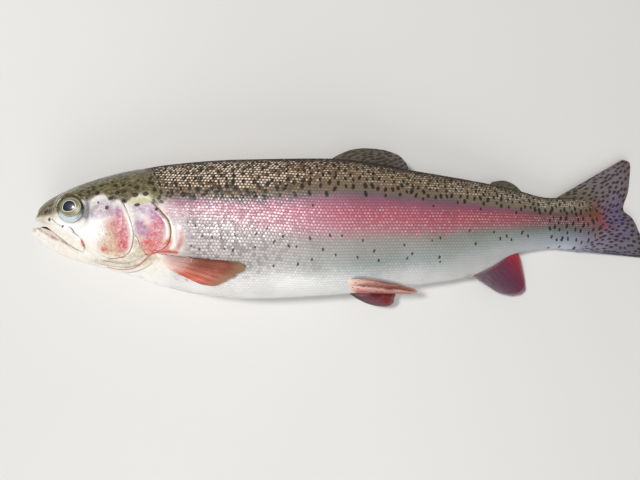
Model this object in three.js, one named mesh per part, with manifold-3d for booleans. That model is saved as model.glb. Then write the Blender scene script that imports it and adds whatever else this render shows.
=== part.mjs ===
// A life-size rainbow trout, freshly landed, lying at rest on its right flank.
// Millimetres. Snout towards -X, tail towards +X, back towards +Y, left flank up (+Z).
// The origin is under the middle of the fish, on the surface it lies on.
//
// Shapes are first given in the fish's own side view: s runs along the body from the tip of the
// lower jaw, y runs from the body's axis towards the back, and z is the height over the floor.
import * as THREE from "three";
import { mergeVertices } from "three/addons/utils/BufferGeometryUtils.js";
import Module from "manifold-3d";

const wasm = await Module();
wasm.setup();

// ---------------------------------------------------------------- driving dimensions
const FLESH_END = 388; // where the scaled tail stalk ends, from the tip of the lower jaw
const STALK_START = 338; // the cut between trunk and tail stalk, just behind the anal fin
const GAP = 0.3; // clearance between neighbouring pieces
const RING_SIDES = 30;
// Spacing of the body's rings as far as each s: close over the curved snout, wider behind.
const RING_SPACING = [[12, 3], [105, 8.4], [FLESH_END, 12.5]];
const SNOUT_TIP = { s: -1.2, y: -4.6 };
const STALK_TIP = { s: FLESH_END + 4, y: -0.5 };

// Side-view outline and half width of the body, as [s, value].
const BACK_LINE = [
  [0, -1], [2, 5], [7.5, 12.3], [18, 18.6], [38, 26.8], [66, 34.2], [100, 39], [140, 41.6],
  [200, 42.5], [228, 40], [256, 35.4], [298, 29], [327, 23.8], [356, 17.7], [FLESH_END, 19],
];
const BELLY_LINE = [
  [0, -8.5], [2, -10.8], [7.5, -15.5], [18, -21.6], [38, -28.5], [66, -35.8], [93, -44.4],
  [113, -48.5], [145, -51.5], [200, -49.1], [255, -43.4], [298, -37], [312, -31.2],
  [327, -22.9], [341, -19.5], [356, -18.2], [FLESH_END, -21],
];
const HALF_WIDTH = [
  [0, 3.5], [4, 6.6], [12, 9.8], [25, 13.8], [45, 18], [66, 21], [90, 23.4], [130, 25.4],
  [170, 25.6], [210, 24.2], [250, 20.8], [290, 16.4], [325, 12], [356, 8.6], [FLESH_END, 3.6],
];
const WIDEST_AT = [[0, -4], [20, -3], [60, -2], [200, -2], [300, -1], [FLESH_END, -0.5]];
const FULLNESS = [[0, 2.1], [30, 2.4], [90, 2.3], [200, 2.15], [FLESH_END, 2]];
// Height of the fish's middle plane over the floor: the limp tail sinks down to it.
const LIFT = [
  [0, 20.5], [60, 21.6], [130, 24.6], [190, 24.4], [240, 20.8], [290, 15.9], [340, 10],
  [FLESH_END, 4.4], [434, 0.8],
];

// ---------------------------------------------------------------- the body as functions
// A smooth curve through [s, value] points that never overshoots them.
function curve(points) {
  const step = (i) => points[i + 1][0] - points[i][0];
  const slope = (i) => (points[i + 1][1] - points[i][1]) / step(i);
  const last = points.length - 1;
  const tangents = points.map((_, i) => {
    if (i === 0) return slope(0);
    if (i === last) return slope(last - 1);
    const before = slope(i - 1);
    const after = slope(i);
    if (before * after <= 0) return 0;
    const a = 2 * step(i) + step(i - 1);
    const b = step(i) + 2 * step(i - 1);
    return (a + b) / (a / before + b / after);
  });
  return (s) => {
    const at = THREE.MathUtils.clamp(s, points[0][0], points[last][0]);
    let i = points.findIndex((p) => p[0] > at) - 1;
    if (i < 0) i = last - 1;
    const h = step(i);
    const t = (at - points[i][0]) / h;
    return (
      (1 + 2 * t) * (1 - t) ** 2 * points[i][1] +
      t * (1 - t) ** 2 * h * tangents[i] +
      t * t * (3 - 2 * t) * points[i + 1][1] +
      t * t * (t - 1) * h * tangents[i + 1]
    );
  };
}

const backAt = curve(BACK_LINE);
const bellyAt = curve(BELLY_LINE);
const halfWidthAt = curve(HALF_WIDTH);
const widestAt = curve(WIDEST_AT);
const fullnessAt = curve(FULLNESS);
const liftAt = curve(LIFT);

// How far the flank stands from the middle plane at (s, y).
function flankAt(s, y) {
  const middle = widestAt(s);
  const reach = y > middle ? backAt(s) - middle : middle - bellyAt(s);
  const share = Math.min(Math.abs(y - middle) / reach, 1);
  const n = fullnessAt(s);
  return halfWidthAt(s) * (1 - share ** n) ** (1 / n);
}

// ---------------------------------------------------------------- solids
function solidOf(geometry) {
  const bare = new THREE.BufferGeometry().setAttribute("position", geometry.getAttribute("position"));
  if (geometry.index) bare.setIndex(geometry.index);
  const merged = mergeVertices(bare, 1e-3);
  return new wasm.Manifold(
    new wasm.Mesh({
      numProp: 3,
      vertProperties: merged.attributes.position.array,
      triVerts: new Uint32Array(merged.index.array),
    }),
  );
}

function geometryOf(solid) {
  const mesh = solid.getMesh();
  const positions = new Float32Array(mesh.numVert * 3);
  for (let i = 0; i < mesh.numVert; i++)
    positions.set(mesh.vertProperties.subarray(i * mesh.numProp, i * mesh.numProp + 3), i * 3);
  const geometry = new THREE.BufferGeometry()
    .setAttribute("position", new THREE.BufferAttribute(positions, 3))
    .setIndex(new THREE.BufferAttribute(mesh.triVerts, 1));
  geometry.computeVertexNormals();
  return geometry;
}

function meshOf(positions, triangles) {
  const geometry = new THREE.BufferGeometry();
  geometry.setAttribute("position", new THREE.Float32BufferAttribute(positions, 3));
  geometry.setIndex(triangles);
  return geometry;
}

// The body, swollen by grow, as rings of points closed by a fan at each end.
function bodyLoft(grow) {
  const sides = RING_SIDES;
  const stations = [0];
  while (stations.at(-1) < FLESH_END) {
    const s = stations.at(-1);
    const [, spacing] = RING_SPACING.find(([end]) => s < end);
    stations.push(Math.min(s + spacing, FLESH_END));
  }
  const positions = [];
  for (const s of stations) {
    const middle = widestAt(s);
    const power = 2 / fullnessAt(s);
    for (let k = 0; k < sides; k++) {
      const turn = (2 * Math.PI * k) / sides;
      const c = Math.cos(turn);
      const d = Math.sin(turn);
      const reach = (c > 0 ? backAt(s) - middle : middle - bellyAt(s)) + grow;
      positions.push(
        s,
        middle + reach * Math.sign(c) * Math.abs(c) ** power,
        liftAt(s) + (halfWidthAt(s) + grow) * Math.sign(d) * Math.abs(d) ** power,
      );
    }
  }
  const front = positions.length / 3;
  positions.push(SNOUT_TIP.s - grow, SNOUT_TIP.y, liftAt(0));
  positions.push(STALK_TIP.s + grow, STALK_TIP.y, liftAt(FLESH_END));
  const triangles = [];
  for (let i = 0; i + 1 < stations.length; i++)
    for (let k = 0; k < sides; k++) {
      const a = i * sides + k;
      const b = i * sides + ((k + 1) % sides);
      triangles.push(a, b, a + sides, b, b + sides, a + sides);
    }
  const tail = (stations.length - 1) * sides;
  for (let k = 0; k < sides; k++) {
    const next = (k + 1) % sides;
    triangles.push(front, next, k);
    triangles.push(front + 1, tail + k, tail + next);
  }
  return solidOf(meshOf(positions, triangles));
}

const SEGMENTS_PER_POINT = 1.3;
const asVectors = (points) => points.map(([s, y]) => new THREE.Vector2(s, y));

// A smooth side-view outline through [s, y] points.
function outline(points, count = Math.round(points.length * SEGMENTS_PER_POINT)) {
  return new THREE.SplineCurve(asVectors(points)).getPoints(count);
}

// The outline moved outwards by gap, for the recess that a piece sits in.
function swollen(loop, gap) {
  const turn = THREE.ShapeUtils.isClockWise(loop) ? 1 : -1;
  return loop.map((p, i) => {
    const before = loop[(i + loop.length - 1) % loop.length];
    const after = loop[(i + 1) % loop.length];
    const along = after.clone().sub(before).normalize();
    return new THREE.Vector2(p.x - turn * along.y * gap, p.y + turn * along.x * gap);
  });
}

// A side-view outline pushed through from height low to height high.
function prism(loop, low, high) {
  const shape = new THREE.Shape(loop);
  const geometry = new THREE.ExtrudeGeometry(shape, { depth: high - low, bevelEnabled: false, steps: 1 });
  geometry.translate(0, 0, low);
  return solidOf(geometry);
}

// Heights and lengths that clear the whole fish.
const BELOW = -40;
const ABOVE = 90;
const WIDE = 90;
const BEHIND = 460;
const HEAD_MIDDLE = liftAt(50);
const side = (left) => (left ? [HEAD_MIDDLE, ABOVE] : [BELOW, HEAD_MIDDLE]);

// Everything between two stations and above a height.
function slab(from, to, low = BELOW) {
  return prism(asVectors([[from, -WIDE], [to, -WIDE], [to, WIDE], [from, WIDE]]), low, ABOVE);
}

// ---------------------------------------------------------------- body pieces
const whole = bodyLoft(0);
const clear = bodyLoft(GAP);
const aboveFloor = slab(-BEHIND, BEHIND, 0);

// Everything in front of the gill opening and the nape.
const HEAD_REGION = [
  ...asVectors([[-12, -70], [-12, 60], [76, 60]]),
  ...outline([
    [79, 44], [83.5, 30], [88, 19.4], [92.5, 12.5], [97, 6.4], [100.4, 1], [101.9, -4.6],
    [101.7, -9.8], [100.2, -14.4], [97, -18], [92, -20.4], [86.5, -23], [80, -28.5],
    [72, -31.8], [65, -33.5], [60, -40],
  ]),
  ...asVectors([[58, -70]]),
];

// The cheek plate, with the curved preopercle along its rear edge.
const CHEEK = outline([
  [69, 13.2], [70.8, 8.8], [73, 4.3], [75.2, -1], [76.6, -6], [76.2, -12], [75, -16.4],
  [72.6, -20], [69, -22.4], [64.5, -23.7], [59, -24], [54, -22.6], [49, -19], [46.5, -12],
  [46, -4], [46.6, 4], [49, 11], [54, 13.6], [62, 13.8],
]);
// Opercle, subopercle and interopercle: the free plate that the cheek plate overlaps in front.
const GILL_COVER = outline([
  [68, 14], [73, 14.5], [79, 14.2], [87.3, 12.2], [92, 8.3], [95.6, 4.6], [99.3, 0.2],
  [100.9, -4.8], [100.8, -9.8], [99.4, -14], [96.4, -17.2], [91.5, -19.6], [86, -22.2],
  [79.5, -27.6], [71.8, -30.8], [63, -31.4], [55, -30], [51, -26], [53, -21.5], [66, -18],
  [70, 0],
]);
// The maxilla, the long flat bone along the edge of the upper jaw.
const MAXILLA = outline([
  [14, -3], [15.5, -0.9], [21, -1.9], [27.4, -3], [33, -4.8], [37.2, -8.2], [41, -12],
  [43.3, -15.4], [43.4, -18], [41.4, -19.4], [38.4, -18.9], [34.4, -17.2], [30.3, -14.6],
  [26.2, -11.3], [21.2, -7.5], [17.3, -5],
]);
const PLATE_DEPTH = 2.4; // under the body's own surface
// How far each plate stands proud of the body's surface.
const COVER_PROUD = 0.7;
const CHEEK_PROUD = 0.9;
const MAXILLA_PROUD = 0.5;

// A thin plate that follows the body's own curve, and the recess it sits in.
function plate(loop, left, skin) {
  return skin.intersect(prism(loop, ...side(left))).subtract(underPlates);
}

function recess(loop, left) {
  return prism(swollen(loop, GAP), ...side(left)).subtract(recessFloor);
}

const coverSkin = bodyLoft(COVER_PROUD);
const cheekSkin = bodyLoft(CHEEK_PROUD);
const maxillaSkin = bodyLoft(MAXILLA_PROUD);
const underPlates = bodyLoft(-PLATE_DEPTH);
const recessFloor = bodyLoft(-PLATE_DEPTH - GAP);

// Upper and lower lips, and the dark wedge of the slightly open mouth between them.
const UPPER_LIP = [[-6, 3], [1.5, 2], [4, 0.6], [8, -0.6], [11, -1.7], [14.2, -3.3], [17.4, -5.5]];
const LOWER_LIP = [[17.4, -6.1], [13.5, -4.7], [9.5, -3.8], [5, -3.8], [1.5, -4.4], [-6, -5]];
const JAW_LINE = [
  [17.4, -6.1], [21, -8.2], [26, -12], [30, -15.3], [34.4, -17.9], [39.5, -20.2], [46, -22.6],
];
const mouthGap = prism([...outline(UPPER_LIP), ...outline(LOWER_LIP)], BELOW, ABOVE);
const JAW_REGION = [
  ...asVectors([[-12, -60], [-12, -5]]),
  ...outline([...LOWER_LIP].reverse()).slice(1),
  ...outline(JAW_LINE).slice(1),
  ...asVectors([[46.5, -27], [44.5, -34], [43, -60]]),
];

// ---------------------------------------------------------------- eyes
// Each sits across the head's surface: bowl is its depth under it and dome its height over it.
const EYE = { s: 33.2, y: 8.5, radius: 8.6, dome: 2.2, bowl: 5.6 };
const EYE_ARCS = 8;
const EYE_SIDES = 20;
const SLOPE_STEP = 0.5;

function eyeball(grow, left) {
  const { s, y, radius, dome, bowl } = EYE;
  const profile = [];
  for (let i = 0; i <= EYE_ARCS; i++) {
    const turn = -Math.PI / 2 + (Math.PI * i) / EYE_ARCS;
    const depth = turn < 0 ? bowl : dome;
    profile.push(new THREE.Vector2(
      i === 0 || i === EYE_ARCS ? 0 : (radius + grow) * Math.cos(turn),
      (depth + grow) * Math.sin(turn),
    ));
  }
  const geometry = new THREE.LatheGeometry(profile, EYE_SIDES);
  const run = 2 * SLOPE_STEP;
  const slopeS = (flankAt(s + SLOPE_STEP, y) - flankAt(s - SLOPE_STEP, y)) / run;
  const slopeY = (flankAt(s, y + SLOPE_STEP) - flankAt(s, y - SLOPE_STEP)) / run;
  const mirror = left ? 1 : -1;
  const outward = new THREE.Vector3(-slopeS, -slopeY, mirror).normalize();
  const upright = new THREE.Vector3(0, 1, 0);
  geometry.applyQuaternion(new THREE.Quaternion().setFromUnitVectors(upright, outward));
  geometry.translate(s, y, liftAt(s) + mirror * flankAt(s, y));
  return solidOf(geometry);
}

// ---------------------------------------------------------------- fins
// A fin is a fan of straight rays from its root line to its rim line. heightAt gives the fan's
// middle surface over the floor: t runs from 0 at the root to 1 at the rim, u from the first ray
// to the last.
const THINNING = 0.7; // under 1, a fin thins quickly near its root

function fan({ root, rim, rays, steps, rootThickness, rimThickness, heightAt }) {
  const from = outline(root, rays);
  const to = outline(rim, rays);
  const positions = [];
  const index = (i, j, top) => ((i * (steps + 1) + j) * 2) + (top ? 0 : 1);
  for (let i = 0; i <= rays; i++)
    for (let j = 0; j <= steps; j++) {
      const t = j / steps;
      const p = from[i].clone().lerp(to[i], t);
      const half = THREE.MathUtils.lerp(rootThickness, rimThickness, t ** THINNING) / 2;
      const z = heightAt(p.x, p.y, t, i / rays);
      positions.push(p.x, p.y, z + half, p.x, p.y, z - half);
    }
  const triangles = [];
  const quad = (a, b, c, d) => triangles.push(a, b, c, a, c, d);
  for (let i = 0; i < rays; i++)
    for (let j = 0; j < steps; j++) {
      quad(index(i, j, true), index(i + 1, j, true), index(i + 1, j + 1, true), index(i, j + 1, true));
      quad(index(i, j, false), index(i, j + 1, false), index(i + 1, j + 1, false), index(i + 1, j, false));
    }
  for (let i = 0; i < rays; i++) {
    quad(index(i, 0, true), index(i, 0, false), index(i + 1, 0, false), index(i + 1, 0, true));
    const rimEnds = [index(i, steps, false), index(i, steps, true)];
    quad(rimEnds[1], index(i + 1, steps, true), index(i + 1, steps, false), rimEnds[0]);
  }
  for (let j = 0; j < steps; j++) {
    quad(index(0, j, true), index(0, j + 1, true), index(0, j + 1, false), index(0, j, false));
    quad(index(rays, j, true), index(rays, j, false), index(rays, j + 1, false), index(rays, j + 1, true));
  }
  const solid = solidOf(meshOf(positions, triangles));
  if (solid.volume() > 0) return solid;
  for (let i = 0; i < triangles.length; i += 3)
    [triangles[i + 1], triangles[i + 2]] = [triangles[i + 2], triangles[i + 1]];
  return solidOf(meshOf(positions, triangles));
}

// Folded back along the ridge of the back.
const DORSAL_FIN = {
  root: [[206, 39.5], [214, 38.5], [226, 36.5], [238, 34.5], [248, 32], [256, 30]],
  rim: [[222, 49.2], [234, 49.8], [242, 47.8], [248, 45.2], [254, 43.9], [259, 41.6]],
  rays: 12, steps: 5, rootThickness: 2.4, rimThickness: 0.7,
  heightAt: (s, y, t) => liftAt(s) + 0.8 * t,
};
const ADIPOSE_FIN = {
  root: [[313, 22], [319, 21.2], [325, 20.2], [330, 19.4]],
  rim: [[316.5, 29.2], [321, 30.2], [328, 28], [333.4, 22.8]],
  rays: 8, steps: 4, rootThickness: 4, rimThickness: 1.2,
  heightAt: (s) => liftAt(s),
};
const ANAL_FIN = {
  root: [[301, -33], [308, -30], [316, -25.5], [324, -20], [330, -17.5]],
  rim: [[321, -51], [327, -52.8], [336.5, -51.6], [340.2, -48], [338.6, -42], [336, -28]],
  rays: 10, steps: 5, rootThickness: 2.4, rimThickness: 0.7,
  heightAt: (s, y, t) => liftAt(s) - 5.5 * t * t,
};
const CAUDAL_FIN = {
  root: [[356, 15], [372, 14], [383, 11], [386, 3], [386, -4], [383, -12], [376, -17], [368, -18]],
  rim: [
    [411.5, 46], [416, 43.4], [415.4, 34], [414.4, 22], [411.6, 10.6], [417.5, 4], [421.5, -3.5],
    [427, -13.5], [432.6, -22.4], [431.5, -25],
  ],
  rays: 20, steps: 5, rootThickness: 3, rimThickness: 0.8,
  heightAt: (s, y, t, u) => liftAt(s) + 1.6 * t * Math.sin(2.2 * Math.PI * u) ** 2,
};

// Paired fins lie back along the flank: sink is their depth in it at the root, stand their height
// off it once they are clear, and none goes lower than the floor allows.
const CLEAR_BY = 0.22;
const KEEL_MARGIN = 1.5;
const LOWEST_FIN = { root: 1, rim: 0.55 };
const PAIRED_THICKNESS = { root: 2, rim: 0.7 };

function pairedFin({ root, rim, rays, steps, stand, sink, left }) {
  const mirror = left ? 1 : -1;
  return {
    root, rim, rays, steps,
    rootThickness: PAIRED_THICKNESS.root,
    rimThickness: PAIRED_THICKNESS.rim,
    heightAt: (s, y, t) => {
      const inside = Math.max(y, bellyAt(s) + KEEL_MARGIN);
      const off = THREE.MathUtils.lerp(-sink, stand, THREE.MathUtils.smoothstep(t, 0, CLEAR_BY));
      const z = liftAt(s) + mirror * (flankAt(s, inside) + off);
      return Math.max(z, THREE.MathUtils.lerp(LOWEST_FIN.root, LOWEST_FIN.rim, t));
    },
  };
}

const PECTORAL = {
  root: [[94, -20], [94.6, -22.2], [95.6, -24.6], [97, -27]],
  rim: [
    [144, -25.6], [148.4, -28.2], [147, -32.2], [142.5, -35], [137, -37.6], [132, -40.4],
    [127, -42], [121.5, -41.4], [116.5, -38.8],
  ],
  rays: 10, steps: 6, stand: 2.1, sink: 2.4,
};
// The far one is pressed between flank and floor, so it lies lower on the belly.
const FAR_PECTORAL_DROP = 6.5;
const FAR_PECTORAL_STAND = 1.2;
const PELVIC_NEAR = {
  root: [[213, -37.5], [214.5, -40.5], [216.5, -43], [219, -44.6]],
  rim: [[241, -43.4], [252, -45.4], [258.4, -47.6], [257, -49.4], [246, -50.4], [234, -50]],
  rays: 8, steps: 5, stand: 1.6, sink: 2.2,
};
const PELVIC_FAR = {
  root: [[213, -43], [214.5, -44.6], [216.5, -45.6], [219, -46]],
  rim: [[228, -56.2], [236, -58.6], [243, -58.4], [246.4, -55.6], [246.6, -51.5], [247, -48.6]],
  rays: 8, steps: 5, stand: 1.5, sink: 3,
};

// ---------------------------------------------------------------- finishes
const finish = (color, roughness) => new THREE.MeshStandardMaterial({ color, roughness, metalness: 0 });
const FINISH = {
  head: finish(0x8c8466, 0.35),
  plate: finish(0xd8a9ad, 0.3),
  jaw: finish(0xe6ddd2, 0.35),
  flank: finish(0xb7b0aa, 0.3),
  stalk: finish(0x8a8274, 0.3),
  eye: finish(0x9a9c78, 0.08),
  redFin: finish(0xb4695c, 0.4),
  darkFin: finish(0x5d5548, 0.4),
  tailFin: finish(0x655f62, 0.4),
};

// ---------------------------------------------------------------- assembly
const trout = new THREE.Group();
const add = (name, solid, material) => {
  const mesh = new THREE.Mesh(geometryOf(solid.intersect(aboveFloor)), material);
  mesh.name = name;
  trout.add(mesh);
};

const SIDES = [["left", true], ["right", false]];
const headRegion = prism(HEAD_REGION, BELOW, ABOVE);
const behindHead = prism(swollen(HEAD_REGION, GAP), BELOW, ABOVE);
const jawRegion = prism(JAW_REGION, BELOW, ABOVE);
const aroundJaw = prism(swollen(JAW_REGION, GAP), BELOW, ABOVE);

let head = whole.intersect(headRegion).subtract(aroundJaw).subtract(mouthGap);
let lowerJaw = whole.intersect(headRegion).intersect(jawRegion).subtract(mouthGap);
let trunk = whole.subtract(behindHead);
for (const [name, left] of SIDES) {
  const recesses = [GILL_COVER, CHEEK, MAXILLA].map((loop) => recess(loop, left));
  const gillCover = plate(GILL_COVER, left, coverSkin).subtract(recesses[1]);
  const cheek = plate(CHEEK, left, cheekSkin);
  const maxilla = plate(MAXILLA, left, maxillaSkin);
  for (const hollow of recesses) {
    head = head.subtract(hollow);
    lowerJaw = lowerJaw.subtract(hollow);
    trunk = trunk.subtract(hollow);
  }
  head = head.subtract(eyeball(GAP, left));
  add(`gill_cover_${name}`, gillCover, FINISH.plate);
  add(`cheek_${name}`, cheek, FINISH.plate);
  add(`maxilla_${name}`, maxilla, FINISH.jaw);
  add(`eye_${name}`, eyeball(0, left), FINISH.eye);
}
add("head", head, FINISH.head);
add("lower_jaw", lowerJaw, FINISH.jaw);
add("trunk", trunk.intersect(slab(0, STALK_START)), FINISH.flank);
add("tail_stalk", trunk.intersect(slab(STALK_START + GAP, BEHIND)), FINISH.stalk);

add("dorsal_fin", fan(DORSAL_FIN).subtract(clear), FINISH.darkFin);
add("adipose_fin", fan(ADIPOSE_FIN).subtract(clear), FINISH.darkFin);
add("anal_fin", fan(ANAL_FIN).subtract(clear), FINISH.redFin);
add("caudal_fin", fan(CAUDAL_FIN).subtract(clear), FINISH.tailFin);

const lowered = (points, drop) => points.map(([s, y]) => [s, y - drop]);
const farPectoral = {
  ...PECTORAL,
  root: lowered(PECTORAL.root, FAR_PECTORAL_DROP),
  rim: lowered(PECTORAL.rim, FAR_PECTORAL_DROP / 2),
  stand: FAR_PECTORAL_STAND,
};
add("pectoral_fin_left", fan(pairedFin({ ...PECTORAL, left: true })).subtract(clear), FINISH.redFin);
add("pectoral_fin_right", fan(pairedFin({ ...farPectoral, left: false })).subtract(clear), FINISH.redFin);
add("pelvic_fin_left", fan(pairedFin({ ...PELVIC_NEAR, left: true })).subtract(clear), FINISH.redFin);
add("pelvic_fin_right", fan(pairedFin({ ...PELVIC_FAR, left: false })).subtract(clear), FINISH.redFin);

// Centre the fish over the origin.
const box = new THREE.Box3().setFromObject(trout);
const middle = box.getCenter(new THREE.Vector3());
for (const mesh of trout.children) mesh.position.set(-middle.x, -middle.y, -box.min.z);

export default trout;
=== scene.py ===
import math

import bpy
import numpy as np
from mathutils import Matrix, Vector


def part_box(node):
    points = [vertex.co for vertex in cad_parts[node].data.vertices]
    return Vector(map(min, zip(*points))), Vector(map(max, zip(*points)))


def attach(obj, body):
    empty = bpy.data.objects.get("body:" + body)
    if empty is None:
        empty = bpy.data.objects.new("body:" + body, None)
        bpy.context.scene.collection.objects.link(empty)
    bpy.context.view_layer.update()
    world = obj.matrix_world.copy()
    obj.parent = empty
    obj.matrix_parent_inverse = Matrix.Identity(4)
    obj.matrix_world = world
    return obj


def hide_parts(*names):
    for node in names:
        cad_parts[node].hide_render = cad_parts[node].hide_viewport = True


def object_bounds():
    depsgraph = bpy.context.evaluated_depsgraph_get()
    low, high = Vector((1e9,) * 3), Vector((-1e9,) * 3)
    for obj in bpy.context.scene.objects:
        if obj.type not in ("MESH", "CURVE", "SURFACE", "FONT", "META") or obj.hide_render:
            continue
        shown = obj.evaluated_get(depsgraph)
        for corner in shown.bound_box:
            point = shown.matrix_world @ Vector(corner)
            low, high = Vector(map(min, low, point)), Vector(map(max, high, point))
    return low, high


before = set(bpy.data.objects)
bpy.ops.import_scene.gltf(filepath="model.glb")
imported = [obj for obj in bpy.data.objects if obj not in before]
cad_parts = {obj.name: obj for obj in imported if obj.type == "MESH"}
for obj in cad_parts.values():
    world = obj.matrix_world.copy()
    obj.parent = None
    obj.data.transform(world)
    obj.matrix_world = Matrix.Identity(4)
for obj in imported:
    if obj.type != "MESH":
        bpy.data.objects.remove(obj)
cad_low, cad_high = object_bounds()

# A life-size rainbow trout lying on its right flank: scaled skin, gill covers, eyes and rayed fins.
#
# Lengths are in millimetres in the fish's own side view until `placed` turns them into the frame's
# metres: s runs from the tip of the lower jaw to the tail, y from the body's axis towards the back,
# and z is the height over the floor. The left flank is up.

MM = 0.001
JAW_TIP = -1.2  # s of the foremost point
BACK_TOP = 42.5  # y of the highest point of the back
SNOUT_Y = -4.6  # y of the foremost point
PATTERN_LENGTH = 430.0  # s where the carried value "along" is 1
FAR = 9.0  # a carried distance that is out of reach of every mark
SHIFT_X = cad_low.x / MM - JAW_TIP
SHIFT_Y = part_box("trunk")[1].y / MM - BACK_TOP

# ------------------------------------------------------------------ the body's driving curves
FLESH_END = 388.0
BACK_LINE = [
    (0, -1), (2, 5), (7.5, 12.3), (18, 18.6), (38, 26.8), (66, 34.2), (100, 39), (140, 41.6),
    (200, BACK_TOP), (228, 40), (256, 35.4), (298, 29), (327, 23.8), (356, 17.7), (FLESH_END, 19),
]
BELLY_LINE = [
    (0, -8.5), (2, -10.8), (7.5, -15.5), (18, -21.6), (38, -28.5), (66, -35.8), (93, -44.4),
    (113, -48.5), (145, -51.5), (200, -49.1), (255, -43.4), (298, -37), (312, -31.2),
    (327, -22.9), (341, -19.5), (356, -18.2), (FLESH_END, -21),
]
HALF_WIDTH = [
    (0, 3.5), (4, 6.6), (12, 9.8), (25, 13.8), (45, 18), (66, 21), (90, 23.4), (130, 25.4),
    (170, 25.6), (210, 24.2), (250, 20.8), (290, 16.4), (325, 12), (350, 9.1), (370, 6.2), (384, 3.7),
    (390, 2.3), (395, 1.25),
]
WIDEST_AT = [(0, -4), (20, -3), (60, -2), (200, -2), (300, -1), (FLESH_END, -0.5)]
FULLNESS = [(0, 2.1), (30, 2.4), (90, 2.3), (200, 2.15), (FLESH_END, 2)]
LIFT = [
    (0, 20.5), (60, 21.6), (130, 24.6), (190, 24.4), (240, 20.8), (290, 15.9), (340, 10),
    (FLESH_END, 4.4), (434, 0.8),
]
LATERAL_LINE = [(60, 6), (88, 6.5), (104, 5.3), (150, 3.9), (200, 0.9), (245, 1.2), (300, 1.6), (395, 0.6)]
BLUNT = 2.0  # the snout is round back to this s


def curve(points):
    """A smooth curve through (s, value) points that never overshoots them."""
    xs, ys = np.array(points, float).T
    h = np.diff(xs)
    slope = np.diff(ys) / h
    tangent = np.empty_like(ys)
    tangent[0], tangent[-1] = slope[0], slope[-1]
    a = 2 * h[1:] + h[:-1]
    b = h[1:] + 2 * h[:-1]
    turning = slope[:-1] * slope[1:] <= 0
    safe = np.where(slope == 0, 1, slope)
    tangent[1:-1] = np.where(turning, 0, (a + b) / (a / safe[:-1] + b / safe[1:]))

    def at(s):
        s = np.clip(np.asarray(s, float), xs[0], xs[-1])
        i = np.clip(np.searchsorted(xs, s, side="right") - 1, 0, len(h) - 1)
        t = (s - xs[i]) / h[i]
        return (
            (1 + 2 * t) * (1 - t) ** 2 * ys[i]
            + t * (1 - t) ** 2 * h[i] * tangent[i]
            + t * t * (3 - 2 * t) * ys[i + 1]
            + t * t * (t - 1) * h[i] * tangent[i + 1]
        )

    return at


def rounded_tip(side, centre):
    """The curve, closed to centre over the blunt snout as a round nose."""
    def at(s):
        t = np.sqrt(np.clip((np.asarray(s, float) - JAW_TIP) / (BLUNT - JAW_TIP), 0, 1))
        return np.where(s < BLUNT, centre + (side(BLUNT) - centre) * t, side(s))

    return at


def smoothstep(low, high, value):
    t = np.clip((np.asarray(value, float) - low) / (high - low), 0, 1)
    return t * t * (3 - 2 * t)


back_at = rounded_tip(curve(BACK_LINE), SNOUT_Y)
belly_at = rounded_tip(curve(BELLY_LINE), SNOUT_Y)
half_width_at = rounded_tip(curve(HALF_WIDTH), 0)
widest_at = rounded_tip(curve(WIDEST_AT), SNOUT_Y)
fullness_at = curve(FULLNESS)
lift_at = curve(LIFT)
lateral_at = curve(LATERAL_LINE)


def ring_point(s, turn):
    """(y, z) on the body at s; turn is 0 on the back and a quarter turn on the left flank."""
    power = 2 / fullness_at(s)
    c, d = np.cos(turn), np.sin(turn)
    middle = widest_at(s)
    reach = np.where(c > 0, back_at(s) - middle, middle - belly_at(s))
    y = middle + reach * np.sign(c) * np.abs(c) ** power
    z = lift_at(s) + half_width_at(s) * np.sign(d) * np.abs(d) ** power
    return y, z


def flank_at(s, y):
    """How far the flank stands from the fish's middle plane."""
    middle = widest_at(s)
    reach = np.where(y > middle, back_at(s) - middle, middle - belly_at(s))
    share = np.minimum(np.abs(y - middle) / reach, 1)
    n = fullness_at(s)
    return half_width_at(s) * (1 - share**n) ** (1 / n)


def placed(points):
    """Side-view millimetres to the frame's metres."""
    return (np.asarray(points) + (SHIFT_X, SHIFT_Y, 0)) * MM


# ------------------------------------------------------------------ lines and plates of the head
def smooth_path(points, per_span=6, closed=False):
    """A rounded path through given (s, y) points."""
    p = np.array(points, float)
    n = len(p)
    spans = n if closed else n - 1
    out = []
    for i in range(spans):
        if closed:
            a, b, c, d = p[i - 1], p[i], p[(i + 1) % n], p[(i + 2) % n]
        else:
            a, b, c, d = p[max(i - 1, 0)], p[i], p[i + 1], p[min(i + 2, n - 1)]
        for t in np.arange(per_span) / per_span:
            out.append(0.5 * (2 * b + (c - a) * t + (2 * a - 5 * b + 4 * c - d) * t**2
                              + (3 * b - a - 3 * c + d) * t**3))
    if not closed:
        out.append(p[-1])
    return np.array(out)


def path_distance(s, y, path, closed=False):
    """Distance of each point from a path, in mm, signed positive inside a closed one."""
    ends = np.roll(path, -1, 0) if closed else path[1:]
    starts = path if closed else path[:-1]
    best = np.full(s.shape, 1e9)
    inside = np.zeros(s.shape, bool)
    for (ax, ay), (bx, by) in zip(starts, ends):
        dx, dy = bx - ax, by - ay
        t = np.clip(((s - ax) * dx + (y - ay) * dy) / (dx * dx + dy * dy), 0, 1)
        best = np.minimum(best, np.hypot(s - ax - t * dx, y - ay - t * dy))
        if closed:
            crosses = (ay > y) != (by > y)
            inside ^= crosses & (s < ax + (y - ay) * dx / (dy if dy else 1e-9))
    return np.where(inside, best, -best) if closed else best


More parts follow.
